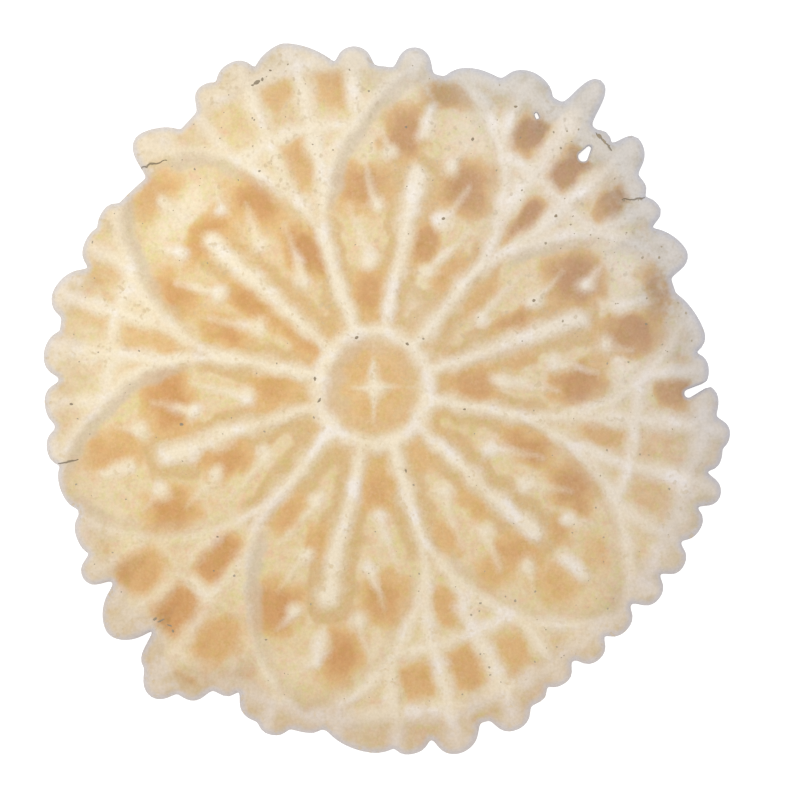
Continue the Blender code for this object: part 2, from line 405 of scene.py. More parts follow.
class BatterBench(NodeBench):
    """A bench with what all the layers of the batter share.

    Attributes:
        where: Where on the piece, in millimetres.
        mottles: How uneven the mesh's values are made.
        lumps, uneven: The lumps of each size, and the same about nought.
        greyer: How grey the wafer is at each point.
        LUMP_DETAIL: How ragged the lumps are.
        GREY_WANDER: How many millimetres the grey's border wanders with the broadest lumps.
    """

    LUMP_DETAIL = 3.0
    GREY_WANDER = 40.0

    def __init__(self, name: str, grey: Drift, mottles: tuple[Mottle, ...]) -> None:
        """Starts the material and works out what its layers share.

        How far each point lies towards the grey side, plus the broadest lumps' share, is carried
        over to how grey it is.

        Args:
            name: The material's name.
            grey: Where the wafer gets greyer.
            mottles: How uneven the mesh's values are made.
        """
        super().__init__(name)
        self.where = self.place()
        self.mottles = mottles
        self.lumps = {size: self.noise(self.where, size.value, self.LUMP_DETAIL) for size in Lumps}
        self.uneven = {size: self.sum_up("SUBTRACT", lump, 0.5) for size, lump in self.lumps.items()}
        broad, ahead = self.uneven[Lumps.BROAD], self.toward(grey.bearing)
        drift = self.sum_up("MULTIPLY_ADD", broad, self.GREY_WANDER, ahead)
        self.greyer = self.spread(drift, grey.begin, grey.full)

    def toward(self, bearing: float) -> bpy.types.NodeSocket:
        """How far each point lies in a direction."""
        return self.vector("DOT_PRODUCT", {0: self.where, 1: (*polar(1, bearing), 0.0)}, "Value")

    def toned(self, tone: Tone) -> bpy.types.NodeSocket:
        """A tone, as warm or grey as it is there."""
        return self.layer(tone.warm, tone.grey, self.greyer)

    def mottled(self, label: str) -> bpy.types.NodeSocket:
        """One of the mesh's values, plus each share of the lumps that goes with it.

        Args:
            label: The value's label.

        Returns:
            The uneven value.
        """
        value = self.value(label)
        for mottle in self.mottles:
            if mottle.label == label:
                value = self.sum_up("MULTIPLY_ADD", self.uneven[mottle.lumps], mottle.share, value)
        return value

    def cloudy(self, clouds: Clouds) -> bpy.types.NodeSocket:
        """How much the clouds cover at each point."""
        noise = self.noise(self.where, clouds.size, clouds.detail, clouds.seed)
        return self.spread(noise, *clouds.bounds, 0, clouds.most)

    def clouded(self, under: object, clouds: Clouds) -> bpy.types.NodeSocket:
        """Clouds of another tone over a colour."""
        return self.layer(under, self.toned(clouds.colour), self.cloudy(clouds))

    def tinted(self, under: object, clouds: Clouds) -> bpy.types.NodeSocket:
        """A colour multiplied by the clouds' own."""
        return self.layer(under, clouds.colour, self.cloudy(clouds), Blend.MULTIPLY)


@dataclass(frozen=True)
class BatterFinish:
    """Dry baked batter: cream ridges, tan floors, browned pockets, greyish knobs and open pores.

    Attributes:
        floor: The web between the ridges.
        ridge: Lighter lumps in it.
        floor_clouds: Yellower and pinker clouds in it.
        skirt, shade: The golden foot of a ridge, partly browning and partly painted shade where the
        ridge meets the floor; and painted shade, greyish, beside the petals' rims and inside the
        hub's ring.
        honey, toast: The browned pockets, round about and in their hearts.
        tints: Small clouds that all floors are multiplied by: yellowish ones, and pinkish ones.
        crest: The palest crests of the ridges, and floors that stayed pale.
        frosted: Dusty white clouds on the crests.
        frosted_knobs: The same on the knobs.
        knob: The batter that ran out of the plates.
        brim, dust: What the colours near the rim are multiplied by, and the greyish clouds there.
        edge: Painted shade on the steep, rounded side of the rim, where it turns away from the light.
        falloff_shade: What the whole is multiplied by towards the lower right: painted shade of light
        falling off away from the upper left.
        pore, pores: Colour of the open pores, partly the batter's own and partly painted shade in
        their pits, and their clouds.
        open_size, open_here: Size in millimetres of the regions with more pores, and their ramp.
        crack, cracks, crack_share: Colour of the cracks, their ends in plan, and how strong they are.
        grey_drift, falloff_shade_drift: Where the wafer gets greyer, and where the painted falloff
        shade darkens it.
        mottles: How uneven the mesh's values are made.
        lumpy, lighter: Share of the small lumps, and the ramp, by which the ridges' tone lies on
            the floors.
        skirted, shaded, honeyed, toasted, knobbed, paled, brimmed, edged: Ramps from the mesh's
            uneven values to how much of each tone lies there.
        outer: The ramp by which the crests whiten towards the rim.
        dusted: Those of the dust, by the brim, the grey and the browning.
        grained: How dark and how light the fine lumps make it.
        bared: How the pores vanish where it is browned.
        rough: The ramp from the small lumps to the roughness.
        gloss: Specular level.
        bumps: Height of the fine and of the small lumps, of the pores and of the cracks.
    """

    floor: Tone = Tone(srgb(228, 204, 159), srgb(215, 194, 160))
    ridge: Tone = Tone(srgb(230, 212, 175), srgb(217, 204, 182))
    floor_clouds: tuple[Clouds, ...] = (
        Clouds(Tone(srgb(225, 209, 154), srgb(208, 195, 158)), 2.2, 0.9, 1.0),
        Clouds(Tone(srgb(230, 193, 158), srgb(214, 187, 164)), 1.7, 0.65, 2.0),
    )
    # The skirt is partly golden browning and partly painted shade at the ridges' feet; the shade is
    # painted shade.
    skirt: Tone = Tone(srgb(207, 171, 115), srgb(197, 167, 125))
    shade: Tone = Tone(srgb(207, 191, 168), srgb(197, 186, 172))
    honey: Tone = Tone(srgb(222, 182, 124), srgb(203, 170, 128))
    toast: Tone = Tone(srgb(207, 155, 99), srgb(178, 142, 114))
    tints: tuple[Clouds, ...] = (
        Clouds((0.95, 1.0, 0.86, 1.0), 1.5, 1.0, 5.0, bounds=(0.46, 0.68)),
        Clouds((1.0, 0.94, 0.93, 1.0), 1.2, 1.0, 6.0, bounds=(0.46, 0.68)),
    )
    crest: Tone = Tone(srgb(238, 224, 195), srgb(223, 213, 199))
    frosted: Clouds = Clouds(Tone(srgb(240, 231, 218), srgb(231, 224, 217)), 4.0, 1.0, 3.0)
    frosted_knobs: Clouds = Clouds(Tone(srgb(240, 231, 218), srgb(231, 224, 217)), 2.6, 1.0, 7.0)
    knob: Tone = Tone(srgb(224, 205, 164), srgb(200, 191, 173))
    brim: Tone = Tone(srgb(238, 232, 227), srgb(231, 232, 233))
    dust: Clouds = Clouds(
        Tone(srgb(224, 211, 190), srgb(205, 199, 191)), 2.4, 1.0, 4.0, 3.0, (0.42, 0.68)
    )
    # The edge tone is painted shade on the rounded rim, which turns away from the light.
    edge: Tone = Tone(srgb(208, 202, 199), srgb(192, 191, 196))
    # Painted shade: darker towards the lower right, as light falling off from the upper left would make
    # it.
    falloff_shade: Colour = srgb(237, 236, 240)
    # The pores' darker colour is partly painted shade in their pits.
    pore: Tone = Tone(srgb(203, 181, 142), srgb(180, 168, 150))
    pores: Clouds = Clouds(pore, 1.1, 1.0, 0.0, 1.0, (0.58, 0.72))
    open_size: float = 9.0
    open_here: Ramp = Ramp(0.4, 0.65, 0.4, 1.0)
    crack: Colour = srgb(118, 103, 82)
    cracks: tuple[tuple[Point, Point], ...] = (
        ((-57.4, -13.9), (-53.6, -13.2)), ((45.5, 34.0), (49.4, 34.5)), ((40.4, 46.2), (41.9, 44.6)),
        ((41.9, 44.6), (43.3, 43.2)), ((-43.5, 39.4), (-37.8, 41.2)),
    )
    crack_share: float = 0.85
    grey_drift: Drift = Drift(38.0, -8.0, 62.0)
    falloff_shade_drift: Drift = Drift(-65.0, -60.0, 60.0)
    mottles: tuple[Mottle, ...] = (
        Mottle("toast", Lumps.MIDDLE, 0.5), Mottle("toast", Lumps.SMALL, 0.2),
        Mottle("skirt", Lumps.MIDDLE, 0.8), Mottle("knob", Lumps.MIDDLE, 0.6),
        Mottle("pale", Lumps.SMALL, 0.4), Mottle("pale", Lumps.FINE, 0.25),
        Mottle("brim", Lumps.MIDDLE, 0.7), Mottle("edge", Lumps.SMALL, 0.4),
    )
    lumpy: float = 1.1
    lighter: Ramp = Ramp(-0.3, 0.4, 0.0, 0.75)
    skirted: Ramp = Ramp(0.0, 0.95, 0.0, 0.65)
    # The share of painted shade where the skirt is below nought.
    shaded: Ramp = Ramp(-0.9, 0.0, 0.7, 0.0, Spread.EVEN)
    honeyed: Ramp = Ramp(0.05, 0.5, 0.0, 0.9)
    toasted: Ramp = Ramp(0.35, 1.1)
    knobbed: Ramp = Ramp(0.1, 1.0, 0.0, 0.8)
    paled: Ramp = Ramp(0.02, 1.0, 0.0, 1.0, Spread.EVEN)
    outer: Ramp = Ramp(0.3, 1.0, 0.0, 0.6)
    brimmed: Ramp = Ramp(0.0, 0.95)
    dusted: tuple[Ramp, Ramp, Ramp] = (
        Ramp(0.2, 0.9, 0.0, 0.8), Ramp(0.0, 1.0, 0.35, 1.0), Ramp(0.2, 0.9, 1.0, 0.3)
    )
    # Share of the painted shade on the rounded edge.
    edged: Ramp = Ramp(0.35, 0.95, 0.0, 0.85)
    grained: Ramp = Ramp(0.25, 0.75, 0.94, 1.05)
    bared: Ramp = Ramp(0.2, 0.7, 0.6, 0.0)
    rough: Ramp = Ramp(0.3, 0.7, 0.68, 0.86)
    gloss: float = 0.25
    bumps: tuple[float, float, float, float] = (0.045, 0.11, -0.06, -0.15)

    def made(self) -> bpy.types.Material:
        """Builds the material.

        The layers go on in the order of the methods: each lays its tones on the colour so far, by
        shares that grow evenly or softly from one value to another.

        Returns:
            The material.
        """
        bench = BatterBench("baked_batter_finish", self.grey_drift, self.mottles)
        brown = bench.mottled("toast")
        open_here = bench.ramped(bench.noise(bench.where, self.open_size), self.open_here)
        pores = bench.sum_up("MULTIPLY", bench.cloudy(self.pores), open_here)
        crack = bench.cracks(bench.where, self.cracks)
        colour = self.floor_colour(bench, brown)
        colour = self.ridge_colour(bench, colour)
        colour = self.brim_colour(bench, colour, brown)
        colour = self.shaded_and_worn_colour(bench, colour, brown, pores, crack)
        small = bench.lumps[Lumps.SMALL]
        height = bench.sum_up("MULTIPLY", bench.lumps[Lumps.FINE], self.bumps[0])
        for part, share in zip((small, pores, crack), self.bumps[1:]):
            height = bench.sum_up("MULTIPLY_ADD", part, share, height)
        return bench.finished(colour, bench.ramped(small, self.rough), self.gloss, height)

    def floor_colour(self, bench: BatterBench, brown: bpy.types.NodeSocket) -> bpy.types.NodeSocket:
        """The floors: lumps and clouds of other tones, then pale places, skirts and browned pockets.

        Args:
            bench: The bench.
            brown: How browned each point is.

        Returns:
            The colour of the floors.
        """
        small, middle = bench.uneven[Lumps.SMALL], bench.uneven[Lumps.MIDDLE]
        lighter = bench.ramped(bench.sum_up("MULTIPLY_ADD", small, self.lumpy, middle), self.lighter)
        colour = bench.layer(bench.toned(self.floor), bench.toned(self.ridge), lighter)
        for clouds in self.floor_clouds:
            colour = bench.clouded(colour, clouds)
        colour = bench.layer(colour, bench.toned(self.crest), bench.value("frost"))
        # The skirt: partly golden browning, partly painted shade where each ridge meets the floor.
        skirt = bench.ramped(bench.mottled("skirt"), self.skirted)
        colour = bench.layer(colour, bench.toned(self.skirt), skirt)
        colour = bench.layer(colour, bench.toned(self.honey), bench.ramped(brown, self.honeyed))
        colour = bench.layer(colour, bench.toned(self.toast), bench.ramped(brown, self.toasted))
        for clouds in self.tints:
            colour = bench.tinted(colour, clouds)
        return colour

    def ridge_colour(self, bench: BatterBench, colour: object) -> bpy.types.NodeSocket:
        """Painted shade by rims and ring, knobs with dusty clouds, and crests that whiten rimwards.

        Args:
            bench: The bench.
            colour: The colour so far.

        Returns:
            The colour with them laid on.
        """
        # Painted shade: grey laid where the skirt is below nought, beside the rims and inside the ring.
        shade = bench.ramped(bench.value("skirt"), self.shaded)
        colour = bench.layer(colour, bench.toned(self.shade), shade)
        knob = bench.ramped(bench.mottled("knob"), self.knobbed)
        colour = bench.layer(colour, bench.clouded(bench.toned(self.knob), self.frosted_knobs), knob)
        whiter = bench.clouded(bench.toned(self.crest), self.frosted)
        outer = bench.ramped(bench.value("brim"), self.outer)
        whiter = bench.layer(whiter, bench.toned(self.frosted.colour), outer)
        return bench.layer(colour, whiter, bench.ramped(bench.mottled("pale"), self.paled))

    def brim_colour(self, bench: BatterBench, colour: object,
                    brown: bpy.types.NodeSocket) -> bpy.types.NodeSocket:
        """The greyer brim, its dust except in browned pockets, and painted shade on the steep edge.

        Args:
            bench: The bench.
            colour: The colour so far.
            brown: How browned each point is.

        Returns:
            The colour with them laid on.
        """
        brim = bench.mottled("brim")
        share = bench.ramped(brim, self.brimmed)
        colour = bench.layer(colour, bench.toned(self.brim), share, Blend.MULTIPLY)
        dusty = bench.cloudy(self.dust)
        for value, ramp in zip((brim, bench.greyer, brown), self.dusted):
            dusty = bench.sum_up("MULTIPLY", dusty, bench.ramped(value, ramp))
        colour = bench.layer(colour, bench.toned(self.dust.colour), dusty)
        # Painted shade: grey laid on the rounded edge, where it turns away from the light.
        edge = bench.ramped(bench.mottled("edge"), self.edged)
        return bench.layer(colour, bench.toned(self.edge), edge)

    def shaded_and_worn_colour(self, bench: BatterBench, colour: object, brown: bpy.types.NodeSocket,
                    pores: bpy.types.NodeSocket, crack: bpy.types.NodeSocket) -> bpy.types.NodeSocket:
        """Lower-right painted shade, the finest grain, pores except in browned pockets, and cracks.

        Args:
            bench: The bench.
            colour: The colour so far.
            brown: How browned each point is.
            pores, crack: Where the open pores and the cracks are.

        Returns:
            The colour with them laid on.
        """
        # Painted shade: the whole is darkened towards the lower right, where the light falls off.
        drift = self.falloff_shade_drift
        share = bench.spread(bench.toward(drift.bearing), drift.begin, drift.full)
        colour = bench.layer(colour, self.falloff_shade, share, Blend.MULTIPLY)
        grain = bench.ramped(bench.lumps[Lumps.FINE], self.grained)
        grain = bench.add("CombineColor", {0: grain, 1: grain, 2: grain}).outputs[0]
        colour = bench.layer(colour, grain, 1.0, Blend.MULTIPLY)
        # Pores: their colour is partly painted shade in the pits, beside their bumps.
        shown = bench.sum_up("MULTIPLY", pores, bench.ramped(brown, self.bared))
        colour = bench.layer(colour, bench.toned(self.pore), shown)
        return bench.layer(colour, self.crack, bench.sum_up("MULTIPLY", crack, self.crack_share))


@dataclass(frozen=True)
class CharFinish:
    """Dull char: from light brown in the strewn crumbs to grey-brown in the larger ones.

    Attributes:
        brown, dark: The two colours.
        cloud, grain: Size of the clouds that mix them, and of the finest lumps, in millimetres.
        larger: How much darker the larger crumbs are.
        charred: The ramp from the clouds to the darker colour.
        rough, gloss, bump: The ramp from the lumps to the roughness, specular level, and their height.
    """

    brown: Colour = srgb(166, 154, 134)
    dark: Colour = srgb(148, 134, 112)
    cloud: float = 1.5
    grain: float = 0.15
    larger: float = 0.5
    charred: Ramp = Ramp(0.45, 1.0)
    rough: Ramp = Ramp(0.3, 0.7, 0.55, 0.8)
    gloss: float = 0.3
    bump: float = 0.04

    def made(self) -> bpy.types.Material:
        """Builds the material.

        Returns:
            The material.
        """
        bench = NodeBench("char_finish")
        place = bench.place()
        clouds, grain = bench.noise(place, self.cloud, 3.0), bench.noise(place, self.grain, 2.0)
        charred = bench.sum_up("MULTIPLY_ADD", bench.value("char"), self.larger, clouds)
        colour = bench.layer(self.brown, self.dark, bench.ramped(charred, self.charred))
        height = bench.sum_up("MULTIPLY", grain, self.bump)
        return bench.finished(colour, bench.ramped(grain, self.rough), self.gloss, height)


# The rim ------------------------------------------------------------------------------------------


@dataclass(frozen=True)
class Hole:
    """A gap that the batter left, tapering between two circles.

    Attributes:
        inner, outer: Distance, bearing and radius of the circle at each end.
        ease: How far from its edge the wafer's thickness is rounded away.
    """

    inner: tuple[float, float, float]
    outer: tuple[float, float, float]
    ease: float

    def clearance(self, x: Array, y: Array) -> Array:
        """Distance of points from the hole's edge, counted outwards from the hole."""
        share, away = beside_line(x, y, polar(*self.inner[:2]), polar(*self.outer[:2]))
        return away - self.inner[2] - share * (self.outer[2] - self.inner[2])


@dataclass
class Rim:
    """The wafer's outline: knobs of batter that ran out past the pattern, and a few holes.

    Attributes:
        knobs: For each knob the bearing and distance of its tip, the degrees over which it rises
            and falls, and the distance of the web's own edge after it.
        knob_round: Power of a knob's rounded side, if it were no wider than a line.
        knob_round_loss: How much less that is for each degree of width, as wide sides slope evenly.
        corner_ease: Degrees over which the corners between knobs are eased.
        corner_reach: How many times that far the easing looks.
        step: Bearing step at which the outline is worked out.
        ease: How far from the outline the wafer's edge is rounded away.
        near: How close to the outline the true distance from it is worked out.
        batch: How many points are compared with the whole outline at a time.
        blend, far: How sharply a hole's edge meets the outline, and the depth past which it cannot.
        knob_stands: How far out an edge is from the web's where a knob begins to count, and counts.
        knob_spans: How far from the web's edge a knob's batter begins, and is full.
        holes: The holes and the notch.
        bearings, edge, web, loop: The outline worked out: its bearings, the distance of the edge and
            of the web's own edge at each, and its points.
    """

    knobs: tuple[tuple[float, float, float, float, float], ...] = (
        (3.1, 61.1, 2.8, 3.0, 58.5), (9.2, 61.1, 2.9, 8.0, 57.6), (23.6, 62.2, 3.1, 6.4, 57.7),
        (32.3, 61.6, 2.2, 2.7, 60.1), (37.6, 61.8, 2.3, 2.2, 61.6), (43.3, 66.2, 4.2, 2.0, 62.0),
        (47.4, 62.9, 1.3, 1.4, 62.0), (53.4, 69.6, 2.7, 2.6, 62.3), (62.7, 64.3, 4.2, 4.4, 61.0),
        (70.8, 61.0, 3.0, 6.2, 58.0), (82.8, 62.4, 3.3, 3.3, 58.3), (93.5, 62.2, 3.4, 3.1, 59.2),
        (104.9, 64.8, 8.3, 5.5, 61.6), (113.7, 64.6, 3.2, 3.5, 62.1), (119.4, 63.2, 2.1, 2.9, 59.6),
        (133.2, 62.8, 6.2, 3.7, 56.2), (147.0, 58.8, 2.6, 2.8, 57.9), (152.9, 58.8, 2.9, 4.0, 56.3),
        (163.7, 60.9, 6.0, 3.4, 58.2), (174.2, 60.3, 4.2, 3.8, 57.2), (182.7, 59.9, 3.4, 3.6, 58.4),
        (191.0, 60.5, 3.3, 2.8, 58.7), (197.8, 59.9, 3.6, 4.4, 58.1), (208.0, 60.6, 4.4, 2.1, 59.8),
        (213.4, 63.2, 2.8, 2.7, 59.3), (222.9, 65.9, 5.6, 4.8, 58.8), (230.8, 65.8, 2.7, 3.0, 63.0),
        (234.2, 69.3, 4.2, 3.2, 64.0), (238.4, 66.2, 3.0, 3.2, 62.6), (243.4, 62.4, 2.0, 2.5, 60.2),
        (250.2, 64.4, 3.7, 3.0, 63.4), (253.2, 65.9, 2.6, 2.8, 63.8), (258.2, 64.0, 2.6, 3.0, 62.8),
        (270.2, 66.5, 7.8, 3.2, 65.3), (275.5, 67.1, 2.1, 3.3, 65.0), (283.1, 68.4, 3.3, 4.2, 64.0),
        (292.8, 67.5, 3.2, 3.2, 64.6), (297.6, 64.7, 2.0, 2.2, 63.0), (302.8, 64.1, 2.4, 2.6, 61.6),
        (309.6, 64.3, 2.8, 2.8, 61.8), (316.2, 63.8, 2.9, 3.1, 61.2), (323.6, 64.6, 3.0, 2.8, 62.2),
        (330.0, 65.1, 2.6, 2.8, 62.6), (337.2, 64.8, 3.4, 2.2, 62.7), (342.6, 66.1, 2.5, 2.9, 62.3),
        (348.7, 64.6, 2.6, 1.9, 63.9), (352.2, 65.4, 2.1, 2.7, 62.4), (357.4, 62.8, 2.4, 3.2, 59.5),
    )
    knob_round: float = 2.6
    knob_round_loss: float = 0.17
    corner_ease: float = 0.35
    corner_reach: float = 3.5
    step: float = 0.125
    ease: float = 1.0
    near: float = 6.0
    batch: int = 2000
    blend: float = 8.0
    far: float = 8.0
    knob_stands: Point = (0.2, 2.8)
    knob_spans: Point = (-3.2, 1.4)
    holes: tuple[Hole, ...] = (
        Hole((56.7, 47.75, 0.9), (58.5, 48.0, 0.4), 0.3),
        Hole((57.4, 58.75, 0.3), (57.75, 59.2, 0.3), 0.25),
        Hole((57.3, 358.9, 0.75), (61.5, 0.9, 0.3), 0.5),
    )
    bearings: Array = field(init=False)
    edge: Array = field(init=False)
    web: Array = field(init=False)
    loop: Array = field(init=False)

    def __post_init__(self) -> None:
        """Works out the outline once: the edge's distance, the web's, and the outline's points."""
        self.bearings = np.arange(0, FULL_TURN, self.step)
        dips = [((bearing + fall) % FULL_TURN, dip) for bearing, _, _, fall, dip in self.knobs]
        self.web = np.interp(self.bearings, *zip(*dips), period=FULL_TURN)
        self.edge = self.blurred(self.sharp_edge())
        angles = np.radians(self.bearings)
        self.loop = self.edge[:, None] * np.stack([np.cos(angles), np.sin(angles)], axis=1)

    def sharp_edge(self) -> Array:
        """Distance of the edge at each bearing, before its corners are eased.

        Each knob stands on the web's edge as a rounded arch, the root of one less a power of the
        share of the way to its foot, and the farthest of the web and the knobs is the edge.

        Returns:
            The distance at each bearing.
        """
        edge = self.web
        for bearing, reach, rise, fall, _ in self.knobs:
            away = (self.bearings - bearing + HALF_TURN) % FULL_TURN - HALF_TURN
            width = np.where(away < 0, rise, fall)
            power = self.knob_round - self.knob_round_loss * width
            share = np.minimum(np.abs(away) / width, 1)
            arch = self.web + (reach - self.web) * (1 - share**power) ** (1 / power)
            edge = np.maximum(edge, arch)
        return edge

    def blurred(self, edge: Array) -> Array:
        """The edge averaged over its neighbours with a bell-shaped weight.

        Args:
            edge: Distance of the edge at each bearing.

        Returns:
            The same with its corners eased.
        """
        reach = round(self.corner_reach * self.corner_ease / self.step)
        shifts = np.arange(-reach, reach + 1)
        weights = np.exp(-0.5 * (shifts * self.step / self.corner_ease) ** 2)
        return sum(w * np.roll(edge, k) for k, w in zip(shifts, weights / weights.sum()))

    def read(self, table: Array, bearings: Array) -> Array:
        """A value worked out round the rim, read off at any bearings."""
        return np.interp(bearings, self.bearings, table, period=FULL_TURN)

    def depth(self, x: Array, y: Array) -> Array:
        """Distance of points inside the outline from it, negative outside.

        Far inside, it is the way left to the edge along the bearing. Near the edge it is the
        distance to the nearer of the two outline segments beside the nearest outline point.

        Args:
            x, y: The points.

        Returns:
            The depth of each point.
        """
        radius = np.hypot(x, y)
        left = self.read(self.edge, np.degrees(np.arctan2(y, x))) - radius
        depth = left.copy()
        near = np.flatnonzero(np.abs(left) < self.near)
        points = np.stack([x[near], y[near]], axis=1)
        for part in np.array_split(np.arange(len(near)), 1 + len(near) // self.batch):
            spots = points[part]
            gaps = (self.loop**2).sum(axis=1) - 2 * spots @ self.loop.T
            nearest = gaps.argmin(axis=1)
            away = np.minimum(
                self.from_segment(spots, nearest - 1), self.from_segment(spots, nearest)
            )
            depth[near[part]] = np.copysign(away, left[near[part]])
        return depth

    def from_segment(self, spots: Array, first: Array) -> Array:
        """Distance of each spot from the outline segment that starts at the given outline point.

        Args:
            spots: The points.
            first: For each, the number of the outline point where the segment starts.

        Returns:
            The distance of each point.
        """
        start = self.loop[first % len(self.loop)]
        run = self.loop[(first + 1) % len(self.loop)] - start
        share = ((spots - start) * run).sum(axis=1) / (run**2).sum(axis=1)
        return np.linalg.norm(spots - start - np.clip(share, 0, 1)[:, None] * run, axis=1)

    def cover(self, x: Array, y: Array) -> Array:
        """Depth into the wafer, counted in the width over which its edge is rounded away.

        It is nought on the edge of the outline or of a hole, and one where the faces begin. The two
        are joined as a soft minimum: the logarithm of the sum of their exponentials.

        Args:
            x, y: The points.

        Returns:
            The cover of each point.
        """
        cover = self.depth(x, y) / self.ease
        for hole in self.holes:
            beside = hole.clearance(x, y) / hole.ease
            cover = sum(np.exp(-self.blend * np.minimum(v, self.far)) for v in (cover, beside))
            cover = -np.log(cover) / self.blend
        return cover

    def knobbiness(self, x: Array, y: Array) -> Array:
        """How far each point is out in a knob, from nought on the web to one in a full knob.

        Args:
            x, y: The points.

        Returns:
            The share at each point.
        """
        bearings = np.degrees(np.arctan2(y, x))
        web = self.read(self.web, bearings)
        stands = between(self.read(self.edge, bearings) - web, *self.knob_stands)
        return stands * between(np.hypot(x, y) - web, *self.knob_spans)


# The pressed pattern ------------------------------------------------------------------------------


@dataclass(frozen=True)
class Mark:
    """One kind of ridge in the pattern, as it lies at each point.

    Attributes:
        reach: Distance from the ridge's middle line as a share of the half width of its foot.
        relief: Its height as a share of the tallest ridges'.
        paleness: How pale its crest stays.
        skirt: How golden the floor turns along its foot, partly browning and partly painted shade;
        below nought, how much painted grey shade lies there instead.
    """

    reach: Array
    relief: Array | float
    paleness: Array | float
    skirt: Array | float = 0.0


@dataclass(frozen=True)
class Press:
    """How one kind of ridge comes out of the plates: the shares that its mark starts from."""

    relief: float
    paleness: float
    skirt: float = 0.0

    def mark(self, reach: Array, shown: Array | float = 1.0, beside: Array | float = 1.0) -> Mark:
        """The ridge, given its reach, what multiplies its height and paleness, and what its skirt."""
        return Mark(reach, self.relief * shown, self.paleness * shown, self.skirt * beside)


